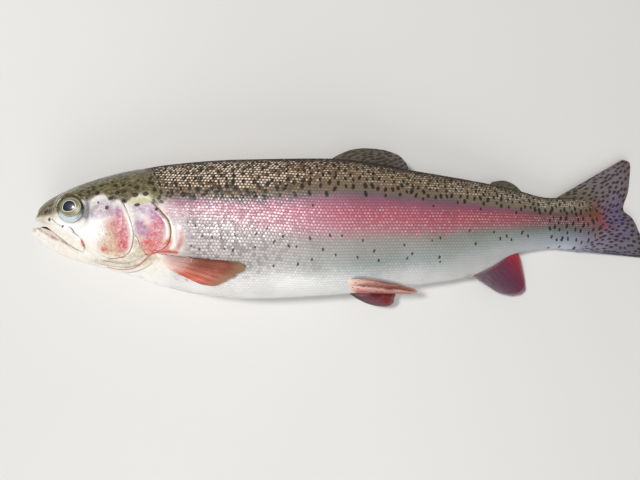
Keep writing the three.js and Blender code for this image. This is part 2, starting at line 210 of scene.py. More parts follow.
def side_distance(s, y, path):
    """Distance from an open path, positive on its left, as if its ends ran on straight."""
    best = np.full(s.shape, 1e9)
    signed = np.zeros(s.shape)
    for i, ((ax, ay), (bx, by)) in enumerate(zip(path[:-1], path[1:])):
        dx, dy = bx - ax, by - ay
        t = ((s - ax) * dx + (y - ay) * dy) / (dx * dx + dy * dy)
        t = np.clip(t, 0 if i else -np.inf, 1 if i < len(path) - 2 else np.inf)
        gap = np.hypot(s - ax - t * dx, y - ay - t * dy)
        nearer = gap < best
        best = np.where(nearer, gap, best)
        signed = np.where(nearer, gap * np.sign(dx * (y - ay) - dy * (s - ax)), signed)
    return signed


CHEEK_EDGE = [
    (70.8, 8.8), (73, 4.3), (75.2, -1), (76.6, -6), (76.2, -12), (75, -16.4), (72.6, -20), (69, -22.4),
    (64.5, -23.7), (59, -24), (54, -22.6),
]
COVER_EDGE = [
    (87.3, 12.4), (92, 8.3), (95.6, 4.6), (99.3, 0.2), (100.9, -4.8), (100.8, -9.8), (99.4, -14),
    (96.4, -17.2), (91.5, -19.6), (86, -22.2), (79.5, -27.6), (71.8, -30.8), (63, -31.4), (55, -30),
]
CHEEK = smooth_path([
    (69, 13.2), *CHEEK_EDGE, (49, -19), (46.5, -12), (46, -4), (46.6, 4), (49, 11), (54, 13.6), (62, 13.8),
], closed=True)
GILL_COVER = smooth_path([
    (68, 14), (73, 14.8), (79, 15.2), *COVER_EDGE, (51, -26), (53, -21.5), (66, -18), (70, 0),
], closed=True)
MAXILLA = smooth_path([
    (14, -3), (15.5, -0.9), (21, -1.9), (27.4, -3), (33, -4.8), (37.2, -8.2), (41, -12),
    (43.3, -15.4), (43.4, -18), (41.4, -19.4), (38.4, -18.9), (34.4, -17.2), (30.3, -14.6),
    (26.2, -11.3), (21.2, -7.5), (17.3, -5),
], closed=True)
PREOPERCLE_LINE = smooth_path([(68, 13.6), *CHEEK_EDGE])
GILL_SLIT = smooth_path(COVER_EDGE)
SUBOPERCLE_LINE = smooth_path([(77.4, -8.4), (79.5, -12.1), (81.3, -15.9), (83.7, -19.7), (86, -22.4)])
UPPER_LIP = [(-4, 2.6), (1.5, 2), (4, 0.6), (8, -0.6), (11, -1.7), (14.2, -3.3), (17.6, -5.6)]
LOWER_LIP = [(-4, -4.6), (1.5, -4.4), (5, -3.8), (9.5, -3.9), (13.5, -4.7), (17.6, -6)]
JAW_FOLD = smooth_path([(15, -4.6), (20, -7.6), (26, -11.8), (31, -15.4), (35.5, -18.2), (40.5, -20)])
MOUTH_FOLDS = [
    smooth_path([(6, -8.6), (14, -10.8), (22, -14.6), (30, -18.6), (37, -21.4)]),
    smooth_path([(42.5, -19), (46.5, -22.5), (49, -25.5), (49.5, -29)]),
]
THROAT_FOLDS = [
    smooth_path([(54, -25.6), (62, -27), (70, -27.2), (77, -25), (82.5, -22.4)]),
    smooth_path([(50, -28), (60, -29.6), (70, -29.7), (79, -27.2), (86, -23.6)]),
    smooth_path([(46, -30.2), (58, -33), (70, -33.6), (80, -31), (88, -26.6)]),
    smooth_path([(44, -28.6), (55, -31.6), (66, -35), (78, -37)]),
]
MAXILLA_CREASE = smooth_path([
    (31.4, -3.6), (33, -4.5), (35.9, -7.5), (38.7, -10.4), (40.8, -12.8), (42.2, -15.4), (41.6, -17.8),
])
LIP_LINE = smooth_path([(18.9, 1.2), (22, -0.9), (25.3, -2.6)])
SHOULDER_HOOK = smooth_path([(100.2, 8.8), (100.1, 6.8), (99.2, 5.1), (97.6, 4.4)])
SHOULDER_ARC = smooth_path([(106.8, -6), (107.6, -9), (107.6, -12.4), (106.2, -15.9), (103, -19)])
PECTORAL_AXIL = smooth_path([(90, -20.2), (97, -19.4), (104, -19.8)])
CREASES = {
    "preopercle_line": PREOPERCLE_LINE, "subopercle_line": SUBOPERCLE_LINE,
    "maxilla_line": MAXILLA_CREASE, "lip_line": LIP_LINE, "shoulder_line": SHOULDER_HOOK,
}
OPENINGS = {"gill_line": GILL_SLIT, "axil_line": PECTORAL_AXIL}
DRAWN_LINES = {**CREASES, **OPENINGS}
SOFT_LINES = {"wrinkle_shade": [JAW_FOLD, *THROAT_FOLDS], "sore": [SHOULDER_ARC, PECTORAL_AXIL]}
GROOVES = [  # paths, depth, width
    ([PREOPERCLE_LINE], 0.45, 0.55), ([SUBOPERCLE_LINE], 0.3, 0.5), ([MAXILLA_CREASE], 0.4, 0.5),
    ([JAW_FOLD], 0.45, 0.6), (MOUTH_FOLDS, 0.3, 1.1), (THROAT_FOLDS, 0.4, 0.6),
]
CHEEK_RISE, COVER_RISE, MAXILLA_RISE = 0.85, 0.75, 0.55  # how far the plates stand over the plain body
COVER_LIP, SLIT_LIP, SLIT_DEPTH = 0.35, 0.25, 0.8  # the two edges of the gill slit, and the step between

EYE = dict(s=32.7, y=7.8, radius=8.6, bowl=5.8)
EYE_TURN = 0.35  # how much of the head's slope the eye takes
SOCKET_RADIUS = EYE["radius"] + 0.1
SOCKET_DEPTH = 5.0
ORBIT_REACH = 7.0  # how far round the eye the head is levelled with it
EYE_FOLD, BROW, UNDER_EYE = 0.3, 0.3, 0.35  # the fold round the eye, what it gains on top, the hollow below
NOSTRIL_RIM = 0.22
NOSTRILS = [(14.0, 7.0, 0.85, 0.9), (15.8, 8.0, 0.6, 0.7)]  # s, y, radius, depth


def eye_slopes():
    """Slope of the eye's rim along the body and towards the back."""
    s, y, step = EYE["s"], EYE["y"], 0.5
    along = flank_at(s + step, y) - flank_at(s - step, y)
    up = flank_at(s, y + step) - flank_at(s, y - step)
    return EYE_TURN * along, EYE_TURN * up


def with_eye_and_nostrils(height, s, y):
    """The relief with the eye's rim, brow and socket in it, and the nostrils' rims and pits."""
    up = y - EYE["y"]
    from_eye = np.hypot(s - EYE["s"], up)
    slope_s, slope_y = eye_slopes()
    rim = flank_at(EYE["s"], EYE["y"]) + slope_s * (s - EYE["s"]) + slope_y * up
    near = smoothstep(SOCKET_RADIUS + ORBIT_REACH, SOCKET_RADIUS + 0.3, from_eye)
    height += near * np.clip(rim - flank_at(s, y), -1, 2)
    fold = EYE_FOLD + BROW * smoothstep(-4, 6, up)
    height += fold * np.exp(-((from_eye - SOCKET_RADIUS - 1.1) / 1.0) ** 2)
    height -= UNDER_EYE * np.exp(-((from_eye - SOCKET_RADIUS - 4.2) / 2.2) ** 2) * smoothstep(2, -6, up)
    height -= SOCKET_DEPTH * smoothstep(SOCKET_RADIUS + 0.25, SOCKET_RADIUS - 0.7, from_eye)
    for ns, ny, radius, depth in NOSTRILS:
        from_nostril = np.hypot(s - ns, y - ny)
        height -= depth * smoothstep(radius + 0.35, radius - 0.35, from_nostril)
        height += NOSTRIL_RIM * np.exp(-((from_nostril - radius - 0.55) / 0.4) ** 2)
    return height


def head_relief(s, y):
    """Height of the bare head's bones, folds and openings over the plain body, in mm."""
    plates = (CHEEK, GILL_COVER, MAXILLA)
    cheek, cover, maxilla = [path_distance(s, y, plate, closed=True) for plate in plates]
    slit = path_distance(s, y, GILL_SLIT)
    beside_cheek, past_cover = smoothstep(0.4, -0.4, cheek), smoothstep(0.4, -0.4, cover)
    height = CHEEK_RISE * smoothstep(-0.5, 0.5, cheek) * smoothstep(50, 70, s)
    raised = COVER_RISE * smoothstep(-0.4, 0.5, cover) * smoothstep(66, 86, s)
    height += raised * beside_cheek * smoothstep(15, 8, y)
    height += COVER_LIP * np.exp(-((cover - 1.6) / 1.3) ** 2) * smoothstep(80, 92, s)
    sunk = SLIT_DEPTH * np.exp(-(np.maximum(-cover, 0) / 2.6) ** 2) * past_cover
    height -= sunk * smoothstep(60, 84, s) * smoothstep(16, 9, y)
    height += MAXILLA_RISE * smoothstep(-0.4, 0.5, maxilla) * smoothstep(13, 24, s)
    for paths, depth, width in GROOVES:
        for path in paths:
            height -= depth * np.exp(-(path_distance(s, y, path) / width) ** 2)
    height += SLIT_LIP * np.exp(-((slit - 2.4) / 0.8) ** 2) * (1 - past_cover) * smoothstep(13, 8, y)
    return with_eye_and_nostrils(height, s, y)


def body_relief(s, y, left):
    """Soft forms of the trunk: fleshy fin roots and the vent."""
    mounds = [  # s, y, half length, half height, how high
        (92.5, -23.8, 5.5, 4, 0.7),
        (207, np.where(left, -42.5, -45), 4.5, 3, 0.4),
        (296.5, -38.2, 3.2, 1.8, 1.3),
    ]
    return sum(
        high * np.exp(-(((s - at_s) / long) ** 2) - ((y - at_y) / deep) ** 2)
        for at_s, at_y, long, deep, high in mounds
    )


# ------------------------------------------------------------------ markings carried by every piece
BAND_TOP = [
    (90, 12), (107, 12.8), (151, 11.4), (182, 13.9), (213, 15.4), (245, 13.4), (279, 11.4), (315, 8.6),
    (352, 5.9), (395, 6),
]
BAND_LOW = [
    (90, 1), (120, 0.5), (151, -4), (182, -8.4), (245, -8.9), (279, -7.6), (314, -4.1), (351, -2.5),
    (395, -2.4),
]
WHITE_TOP = [
    (50, -24), (72, -30.1), (108, -38.2), (144, -36), (169, -33.1), (194, -35.5), (220, -35.8),
    (246, -31.5), (273, -29.2), (294, -24), (315, -18.8), (338, -14.2), (395, -13),
]
band_top_at = curve(BAND_TOP)
band_low_at = curve(BAND_LOW)
white_top_at = curve(WHITE_TOP)
OLIVE_OVER_BAND = 0.2  # the share of the way from the band to the ridge where the olive begins
LEVELS = [0.0, 0.22, 0.44, 0.6, 0.68, 1.0]  # belly, top of the white, band's two edges, olive, ridge


def level_of(s, y):
    """Height in the colour pattern: 0 on the belly, the pink band from 0.44 to 0.6, 1 on the ridge."""
    ridge, top = back_at(s), band_top_at(s)
    olive = top + OLIVE_OVER_BAND * (ridge - top)
    edges = [belly_at(s), white_top_at(s), band_low_at(s), top, olive, ridge]
    level = np.zeros(np.broadcast(s, y).shape)
    for i in range(len(edges) - 1):
        share = np.clip((y - edges[i]) / np.maximum(edges[i + 1] - edges[i], 0.5), 0, 1)
        level += share * (LEVELS[i + 1] - LEVELS[i])
    return level


def run_round(y, z):
    """Distance round each ring of points from its first one."""
    steps = np.hypot(np.diff(y, axis=1), np.diff(z, axis=1))
    return np.concatenate([np.zeros((len(steps), 1)), np.cumsum(steps, axis=1)], axis=1)


ARC_SAMPLES = 361


def arc_table(stations):
    """For each station: turns down the left side, their distances from the lateral line, and their y."""
    turns = np.linspace(0, math.pi, ARC_SAMPLES)
    y, z = ring_point(stations[:, None], turns[None, :])
    run = run_round(y, z)
    line = lateral_at(stations)
    at_line = np.array([np.interp(-line[i], -y[i], run[i]) for i in range(len(stations))])
    return turns, at_line[:, None] - run, y


SPOT_CELL = 0.25  # size of a cell of the field of spots
SPOT_LOW, SPOT_HIGH = -75.0, 65.0  # the field's reach from the lateral line
FIELD_END = 396
ARC_STATIONS = np.arange(float(FIELD_END))
ARC_TURNS, ARC_RUN, ARC_Y = arc_table(ARC_STATIONS)


def arc_at(s, y):
    """Distance over the skin from the lateral line at (s, y), positive towards the back."""
    rows = np.clip(np.round(s).astype(int), 0, len(ARC_STATIONS) - 1)
    out = np.empty(len(rows))
    for row in np.unique(rows):
        pick = rows == row
        out[pick] = np.interp(-y[pick], -ARC_Y[row], ARC_RUN[row])
    return out


def y_at(row, arc):
    """The height y at a distance from the lateral line."""
    return np.interp(arc, ARC_RUN[row][::-1], ARC_Y[row][::-1])


SKIN_END = 394.5
TAIL_ROUNDING = 11.0  # how much further back the scaled skin reaches at mid-height than at its edges


def tail_warp(s, y):
    """Pulls the top and bottom of the skin's last ring forward, so that it ends in a round edge."""
    late = np.clip((s - 352) / (SKIN_END - 352), 0, 1) ** 2
    return s - TAIL_ROUNDING * late * np.clip(np.abs(y) / 20, 0, 1.1) ** 2


HEAD_SPOTS = [  # s, y, half length, half height
    (52.5, 23, 1.3, 0.8), (59.5, 25.5, 0.8, 0.8), (62.5, 23, 1.3, 1), (68, 23, 1.3, 0.8),
    (72.5, 23, 1, 0.6), (77.5, 21.5, 1.6, 1.1), (85.5, 24.5, 1.3, 1), (50.5, 18, 1.4, 1.1),
    (64.5, 18, 1.4, 1.1), (69.5, 19, 1.4, 1), (77, 16.5, 1.7, 1.3), (84, 17, 1.6, 1.1),
    (89.5, 19.5, 1.3, 0.9), (60.5, 14.5, 1.4, 1), (70, 12.5, 1.4, 1.1), (79, 10, 1.6, 0.9),
    (58.5, 8.5, 1.1, 1.1), (92, 7, 0.8, 0.9), (94.5, 12, 1.3, 0.9), (89.5, 12.5, 0.8, 1.3),
    (52, 12, 0.6, 0.6), (98.5, 17.5, 0.9, 0.9), (96, 22.5, 0.6, 0.9), (35.6, 20, 0.8, 0.55),
    (68, 27.5, 0.7, 0.6), (77.5, 26.5, 0.6, 0.6), (55.5, 27.5, 0.7, 0.7), (44.1, 19, 1.3, 0.9),
    (47.4, 20.8, 1, 0.7), (38.9, 19.8, 1.3, 0.85), (16.6, 1.3, 0.8, 1), (18.6, 11.6, 0.8, 1),
    (45.6, 22.8, 0.95, 0.65), (43, 21.6, 0.5, 0.5), (43.4, 15, 0.8, 0.5), (39, 16.9, 1.1, 0.55),
    (12.8, 5.9, 0.9, 1), (7.5, 4.9, 0.5, 0.9), (20, 8, 0.9, 1), (27.4, -3.3, 0.6, 0.7),
]
HEAD_SPOT_GROWTH = 1.28
CROWN_TRIES, CROWN_DEPTH, CROWN_APART = 300, 11.0, 4.2  # small spots over the top of the head
FLANK_SPOTS = [  # s, y
    (116.8, -2.8), (121.1, -9.4), (127.3, -10.4), (132.6, -10.4), (141.6, -9), (113.6, -15.6),
    (119, -17.5), (134.8, -17.5), (140, -18.4), (154.6, -8.5), (161.3, -5.2), (171.1, -9.9),
    (165.7, -13.2), (174.6, -15.6), (179.4, -16.1), (187.9, -11.3), (195.9, -18), (203.9, -21.4),
    (180.2, -27.1), (189, -24.2), (189.6, 9.3), (200.2, -9), (207.8, -9.4), (220.9, -12.3),
    (228.3, -19.1), (253.5, -20.7), (250.1, -24.1), (153.8, -16.5), (164.9, -28.5), (231.5, -24.9),
    (217.6, -22.9), (111.9, -1.5), (267.5, 10), (272.1, -10.8), (266.6, -12.3), (272.1, -23.2),
    (272.7, -26.6), (292.5, -5.7), (309.9, -6.7), (319.4, -9.2), (314.7, -11.2), (323.2, -11.8),
    (326.5, 6.3), (331, -7.1), (335.6, -9.5), (248, -15.2), (296.9, -14.8), (300.5, 8.6),
]


SPOT_TRIES = 26000
FLANK_SPOT_SIZE, BACK_SPOT_SIZE = (0.7, 1.0), (1.1, 1.75)
SPOT_SPACING = {  # (level, least distance between spots), on the front, the rear and the tail stalk
    "front": [(0.59, 600), (0.63, 6), (0.68, 4.2), (0.8, 3.8), (1, 3.7)],
    "rear": [(0.59, 600), (0.63, 4.8), (0.68, 3.5), (0.8, 3.0), (1, 2.9)],
    "stalk": [(0, 9), (0.2, 5), (0.4, 3.9), (0.7, 3.4), (1, 3.2)],
}


def spot_field(seed, left):
    """Distance to the nearest black spot, in spot radii, over (s, distance from the lateral line)."""
    rng = np.random.default_rng(seed)
    columns = int(FIELD_END / SPOT_CELL)
    rows = int((SPOT_HIGH - SPOT_LOW) / SPOT_CELL)
    field = np.full((columns, rows), FAR, np.float32)

    def stamp(s, a, long, tall, lean=0.0):
        reach = int(3 * max(long, tall) / SPOT_CELL) + 2
        i, j = int(s / SPOT_CELL), int((a - SPOT_LOW) / SPOT_CELL)
        i0, i1 = max(i - reach, 0), min(i + reach, columns)
        j0, j1 = max(j - reach, 0), min(j + reach, rows)
        if i0 >= i1 or j0 >= j1:
            return
        ds = (np.arange(i0, i1) * SPOT_CELL - s)[:, None]
        da = (np.arange(j0, j1) * SPOT_CELL + SPOT_LOW - a)[None, :]
        away = np.hypot((ds + lean * da) / long, da / tall)
        field[i0:i1, j0:j1] = np.minimum(field[i0:i1, j0:j1], away)

    def blotch(s, a, size):
        """A ragged spot of a few lobes, upright on the body even where the tail's end is rounded."""
        row = int(round(s))
        lean = tail_warp(s, y_at(row, a + 0.5)) - tail_warp(s, y_at(row, a - 0.5))
        stamp(s, a, size * 0.78, size * 1.1, lean)
        slant = rng.uniform(-0.7, 0.5)
        for side in (-1, 1)[: rng.integers(1, 3)]:
            lobe, apart = size * rng.uniform(0.6, 0.85), side * size * rng.uniform(0.4, 1.0)
            stamp(s - slant * apart, a + apart, lobe, lobe, lean)

    heads = np.array(HEAD_SPOTS)
    shake = 0 if left else 1
    heads[:, :2] += rng.uniform(-1.3 * shake, 1.3 * shake, (len(heads), 2))
    heads[:, 2:] *= HEAD_SPOT_GROWTH
    heads_a = arc_at(heads[:, 0], heads[:, 1])
    for (s, _, long, tall), a in zip(heads, heads_a):
        stamp(s, a, long, tall)

    flank = np.array(FLANK_SPOTS) + rng.uniform(-4 * shake, 4 * shake, (len(FLANK_SPOTS), 2))
    taken_s, taken_a = flank[:, 0], arc_at(flank[:, 0], flank[:, 1])
    for at_s, at_a in zip(taken_s, taken_a):
        blotch(at_s, at_a, rng.uniform(*FLANK_SPOT_SIZE))

    s = rng.uniform(84, 394, SPOT_TRIES)
    a = rng.uniform(SPOT_LOW, SPOT_HIGH, SPOT_TRIES)
    station = np.round(s).astype(int)
    y = np.array([y_at(row, arc) for row, arc in zip(station, a)])
    level = level_of(s, y)
    rear, stalk = smoothstep(215, 260, s), smoothstep(322, 352, s)
    spaced = {part: np.interp(level, *zip(*steps)) for part, steps in SPOT_SPACING.items()}
    spacing = spaced["front"] * (1 - rear) + spaced["rear"] * rear
    spacing = spacing * (1 - stalk) + spaced["stalk"] * stalk
    on_body = (a > ARC_RUN[station, -1]) & (a < ARC_RUN[station, 0])
    scaled = s >= front_of_scales(y) + 1
    high = smoothstep(0.7, 0.84, level)
    for k in np.flatnonzero(on_body & scaled):
        if np.min(np.hypot(taken_s - s[k], taken_a - a[k])) < spacing[k]:
            continue
        taken_s, taken_a = np.append(taken_s, s[k]), np.append(taken_a, a[k])
        blotch(s[k], a[k], rng.uniform(*BACK_SPOT_SIZE) * (1 - 0.2 * high[k]) * (1 - 0.16 * rear[k]))

    taken_s, taken_a = np.append(taken_s, heads[:, 0]), np.append(taken_a, heads_a)
    for at_s, below in zip(rng.uniform(24, 90, CROWN_TRIES), rng.uniform(1.4, CROWN_DEPTH, CROWN_TRIES)):
        at_a = ARC_RUN[int(round(at_s))][0] - below
        if np.min(np.hypot(taken_s - at_s, taken_a - at_a)) > CROWN_APART:
            taken_s, taken_a = np.append(taken_s, at_s), np.append(taken_a, at_a)
            stamp(at_s, at_a, rng.uniform(1.0, 1.5), rng.uniform(0.8, 1.2))
    return field


FRONT_OF_SCALES = [  # y, s
    (-53, 90), (-45, 91), (-35, 97), (-28, 102), (-23, 106), (-18, 108), (-12, 108), (-6, 106),
    (0, 101.4), (4, 98.6), (7, 96.6), (13, 91.6), (19.4, 88), (26, 85.4), (34, 77), (38, 70), (43, 68),
]
front_of_scales = curve(FRONT_OF_SCALES)


def read_field(field, s, a):
    """The field between its cells."""
    i = np.clip(s / SPOT_CELL, 0, field.shape[0] - 1.001)
    j = np.clip((a - SPOT_LOW) / SPOT_CELL, 0, field.shape[1] - 1.001)
    i0, j0 = i.astype(int), j.astype(int)
    fi, fj = i - i0, j - j0
    return (
        field[i0, j0] * (1 - fi) * (1 - fj) + field[i0 + 1, j0] * fi * (1 - fj)
        + field[i0, j0 + 1] * (1 - fi) * fj + field[i0 + 1, j0 + 1] * fi * fj
    )


SPOTS = {True: spot_field(11, True), False: spot_field(29, False)}

# Airbrushed colours of the bare head: dabs of (s, y, half length, half height, turn in degrees, strength).
DABS = {
    "ash": [
        (79.8, -16, 3.6, 8, 22, 1.1), (76, -22.5, 7, 3, 25, 1.0), (62, -27, 14, 2.2, -2, 0.9),
        (72, -29.5, 9, 2, 14, 0.9), (9, 2.2, 5, 2.4, 10, 0.9), (19, 3.6, 6, 2.4, 14, 0.7),
        (88, -23.5, 4, 3, 20, 0.6), (50, -26, 6, 3, -10, 0.5), (4, -5.2, 3, 1.6, 8, 0.9),
    ],
    "tan": [
        (59.5, -9.5, 8, 8.4, -10, 1.1), (60.8, -17.4, 8, 4.6, -4, 1.2), (66, -20, 6, 3, 0, 0.9),
        (56, -11, 4, 6, 0, 0.4), (84, -25.5, 6, 2.4, 26, 0.8),
        (58, -4, 4, 4, 0, 0.5), (93, -22.4, 4, 2, 30, 0.7),
    ],
    # Pearl: the head's white; the large dab on the cheek below the eye is painted glare.
    "pearl_and_glare": [
        (47, -5, 10, 9, -20, 1.3), (30, -3, 12, 3.6, -16, 1.0), (54, -4, 5, 7, 0, 0.8),
        (66, 10.5, 2.4, 3, 30, 0.7), (102.4, -7, 1.6, 10, 4, 0.9), (94.6, 8.6, 3, 3, 40, 0.8),
        (52, 14, 5, 2.6, 10, 0.7), (78.4, 9, 2, 4, 10, 0.5), (72.8, 5, 0.9, 7, 14, 0.9),
        (75.6, -6, 0.9, 7, 2, 0.8), (98.8, -6.5, 0.9, 7, 2, 0.9), (82.3, 3.9, 3.2, 2.2, 0, 0.8),
    ],
    "lilac": [
        (55, 9, 8.5, 5.2, 5, 1.1), (82, 8.3, 7, 4.2, -16, 1.3), (50.5, 3.8, 4, 3, 0, 0.6),
        (63, 4, 4, 4, 0, 0.7), (105.4, -11, 2, 6, 0, 0.5), (96.8, -1, 1.6, 5, 14, 0.6),
        (78.6, 2, 2, 6, 10, 0.5), (90, 7, 4, 3, -40, 0.8),
    ],
    "violet": [
        (91, 3.2, 5.6, 4.6, -36, 1.15), (66.8, 5.6, 3, 4.6, 12, 1.1), (81.4, -3.6, 4.4, 5.4, 6, 1.1),
        (93, -2, 4.4, 4.4, 0, 0.8), (85, -7, 4.6, 3.6, 10, 0.95), (60.6, 6, 3.4, 3, 0, 0.6),
    ],
    "blush": [
        (68.6, -1.8, 4, 6.6, 9, 1.25), (70.8, -9.5, 3.4, 7, 2, 1.25), (64.5, -1, 4, 4, 0, 0.7),
        (66, -9, 4, 6, 0, 0.5), (69, -16, 4.4, 3.6, 10, 0.7),
        (90.5, -5, 5, 6, 6, 0.8), (94, -5.4, 3.8, 7.4, 2, 1.25), (87.6, -11.8, 6.6, 3.6, 8, 1.0),
    ],
    "coral": [
        (60.4, -3, 4.6, 4, -10, 0.45), (85.8, -15.6, 4.6, 4.6, 24, 1.2), (92.4, -15.6, 5.4, 3.4, 18, 1.2),
        (98.6, -15.2, 1.9, 4.8, -28, 1.5), (56.3, -18, 2.8, 1.7, 15, 1.2),
        (41.6, -14.6, 1.0, 3.4, 22, 1.5), (69, -16.5, 3.2, 3.4, 6, 0.8), (99.5, -19.6, 7, 1.1, -3, 1.3),
        (88, -20.2, 6, 1.1, 16, 0.8), (66, -9, 3, 5, 0, 0.5), (106.6, -15, 1.6, 4, -20, 0.6),
    ],
    "yolk": [(80.8, 13, 5.4, 2.6, 0, 1.2), (87, 15, 3.6, 3, -30, 0.6), (76, 13, 3, 2, 20, 0.5)],
    # Slate: painted shade, mostly behind and under the eye.
    "slate_shade": [
        (43.6, 7.6, 2.9, 7.4, 2, 1.5), (48, 5.4, 1.6, 3, 0, 0.5), (49.8, 9, 2, 1.6, 20, 0.35),
        (40.4, 2.4, 4.4, 1.6, 50, 0.55), (13, -0.6, 5, 1.2, -16, 0.4), (60, -25.6, 10, 0.8, -2, 0.3),
        (56.6, 2.7, 3, 1.2, 10, 0.3),
    ],
    "fold": [
        (6.4, -4, 2.2, 0.9, 6, 0.8), (9.6, -5.4, 3.6, 1.1, -34, 1.3), (18, -9.8, 6.5, 1.3, -26, 1.3),
        (28, -13.6, 6, 1.2, -34, 1.2), (35, -17.6, 3, 0.9, -40, 0.9),
    ],
    "lip": [(15.4, -6.4, 7, 1.2, -32, 0.8), (23, -9.6, 5, 0.9, -32, 0.8)],
}


def dab_mask(s, y, dabs):
    """How strongly a colour's dabs show at each point, 0 to 1."""
    total = np.zeros(s.shape)
    for ds, dy, long, tall, turn, strength in dabs:
        c, d = math.cos(math.radians(turn)), math.sin(math.radians(turn))
        u = ((s - ds) * c + (y - dy) * d) / long
        v = (-(s - ds) * d + (y - dy) * c) / tall
        total += strength * np.exp(-1.2 * (u * u + v * v) ** 1.3)
    return np.minimum(total, 1)


# ------------------------------------------------------------------ mesh helpers
def only(piece):
    """Selects one piece and makes it active."""
    bpy.ops.object.select_all(action="DESELECT")
    piece.select_set(True)
    bpy.context.view_layer.objects.active = piece


def sheet_of(name, columns, rows):
    """A primitive grid with columns by rows points, first along its width."""
    bpy.ops.object.select_all(action="DESELECT")
    bpy.ops.mesh.primitive_grid_add(x_subdivisions=columns - 1, y_subdivisions=rows - 1, size=1)
    piece = bpy.context.object
    piece.name = name
    piece.data.name = name
    piece.data.uv_layers[0].name = "OFBake"
    return piece


def shape(piece, points):
    """Moves a piece's points, in order, to their side-view places."""
    piece.data.vertices.foreach_set("co", placed(points).astype(np.float32).ravel())
    piece.data.update()


def wrapped(top, under, shared=1):
    """Rows of points over the top and back underneath; the two sides share that many edge points."""
    back = under[:, ::-1][:, shared : under.shape[1] - shared]
    return np.concatenate([top, back, top[:, :1]], axis=1)


def carry(piece, **values):
    """Stores named values on the points, for the materials to read."""
    for name, value in values.items():
        layer = piece.data.attributes.new(name, "FLOAT", "POINT")
        layer.data.foreach_set("value", np.ascontiguousarray(value, np.float32).ravel())


def weld(piece, distance=1e-6):
    """Joins points that lie within a distance in metres, and turns the faces outwards."""
    only(piece)
    bpy.ops.object.mode_set(mode="EDIT")
    bpy.ops.mesh.select_all(action="SELECT")
    bpy.ops.mesh.remove_doubles(threshold=distance)
    bpy.ops.mesh.normals_make_consistent(inside=False)
    bpy.ops.object.mode_set(mode="OBJECT")


def finish_piece(piece, finish, nodes=(), *, angle):
    """Shades a piece smooth up to an angle in degrees, and says what it rides on and replaces."""
    only(piece)
    bpy.ops.object.shade_smooth_by_angle(angle=math.radians(angle))
    if not piece.data.materials:
        piece.data.materials.append(finish)
    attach(piece, "root")
    if nodes:
        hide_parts(*nodes)
    return piece


# ------------------------------------------------------------------ node helpers
def tint(colour):
    """An everyday 0-255 colour as linear light; sockets and linear colours pass unchanged."""
    if isinstance(colour, bpy.types.NodeSocket) or len(colour) == 4:
        return colour
    return (*[((c / 255 + 0.055) / 1.055) ** 2.4 if c > 10 else c / 255 / 12.92 for c in colour], 1.0)


class Wiring:
    """Adds nodes to one tree and joins them, so that a finish reads as a list of steps."""

    def __init__(self, tree):
        self.tree = tree

    def put(self, kind, inputs=None, **settings):
        node = self.tree.nodes.new(kind)
        for name, value in settings.items():
            setattr(node, name, value)
        for name, value in (inputs or {}).items():
            self.feed(node.inputs[name], value)
        return node

    def feed(self, socket, value):
        if isinstance(value, bpy.types.NodeSocket):
            self.tree.links.new(value, socket)
        else:
            socket.default_value = value

    def calc(self, operation, *values):
        node = self.put("ShaderNodeMath", operation=operation)
        for socket, value in zip(node.inputs, values):
            self.feed(socket, value)
        return node.outputs[0]

    def times(self, first, *others):
        """The product of all the values."""
        for value in others:
            first = self.calc("MULTIPLY", first, value)
        return first

    def most(self, first, *others):
        """The largest of the values."""
        for value in others:
            first = self.calc("MAXIMUM", first, value)
        return first

    def plus(self, one, other):
        return self.calc("ADD", one, other)

    def rest(self, share):
        """What a share leaves of 1."""
        return self.calc("SUBTRACT", 1.0, share)

    def line(self, value, slope, start):
        """A straight-line rule: value times slope, plus start."""
        return self.calc("MULTIPLY_ADD", value, slope, start)

    def wander(self, noise, width):
        """Noise round 0, about width across."""
        return self.times(self.calc("SUBTRACT", noise, 0.5), width)

    def fade(self, value, low, high, to_low=0.0, to_high=1.0):
        """Goes softly from to_low to to_high as the value goes from low to high."""
        node = self.put("ShaderNodeMapRange", interpolation_type="SMOOTHSTEP")
        for name, number in (("Value", value), ("From Min", low), ("From Max", high),
                             ("To Min", to_low), ("To Max", to_high)):
            self.feed(node.inputs[name], number)
        return node.outputs["Result"]

    def blend(self, amount, under, over, mode="MIX"):
        node = self.put("ShaderNodeMix", data_type="RGBA", blend_type=mode, clamp_factor=True)
        self.feed(node.inputs[0], amount)
        self.feed(node.inputs[6], tint(under))
        self.feed(node.inputs[7], tint(over))
        return node.outputs[2]

    def lay(self, under, over, *amounts):
        """A colour laid over another, as strongly as the product of the amounts."""
        return self.blend(self.times(*amounts), under, over)

    def ramp(self, value, stops):
        node = self.put("ShaderNodeValToRGB", {"Fac": value})
        elements = node.color_ramp.elements
        while len(elements) < len(stops):
            elements.new(0.5)
        for element, (position, colour) in zip(elements, stops):
            element.position = position
            element.color = tint(colour)
        return node.outputs["Color"]

    def carried(self, *names):
        """The sockets of values stored on the points."""
        kind = "ShaderNodeAttribute"
        nodes = [self.put(kind, attribute_name=name, attribute_type="GEOMETRY") for name in names]
        return [node.outputs["Fac"] for node in nodes]

    def place(self):
        return self.put("ShaderNodeTexCoord").outputs["Object"]

    def noise(self, size, detail, roughness=0.5, vector=None, stretch=None):
        """Grain whose lumps are about size mm across."""
        vector = vector or self.place()
        if stretch:
            vector = self.put("ShaderNodeMapping", {"Vector": vector, "Scale": stretch}).outputs[0]
        node = self.put("ShaderNodeTexNoise", {
            "Vector": vector, "Scale": 1 / (size * MM), "Detail": detail, "Roughness": roughness,
        })
        return node.outputs["Fac"]


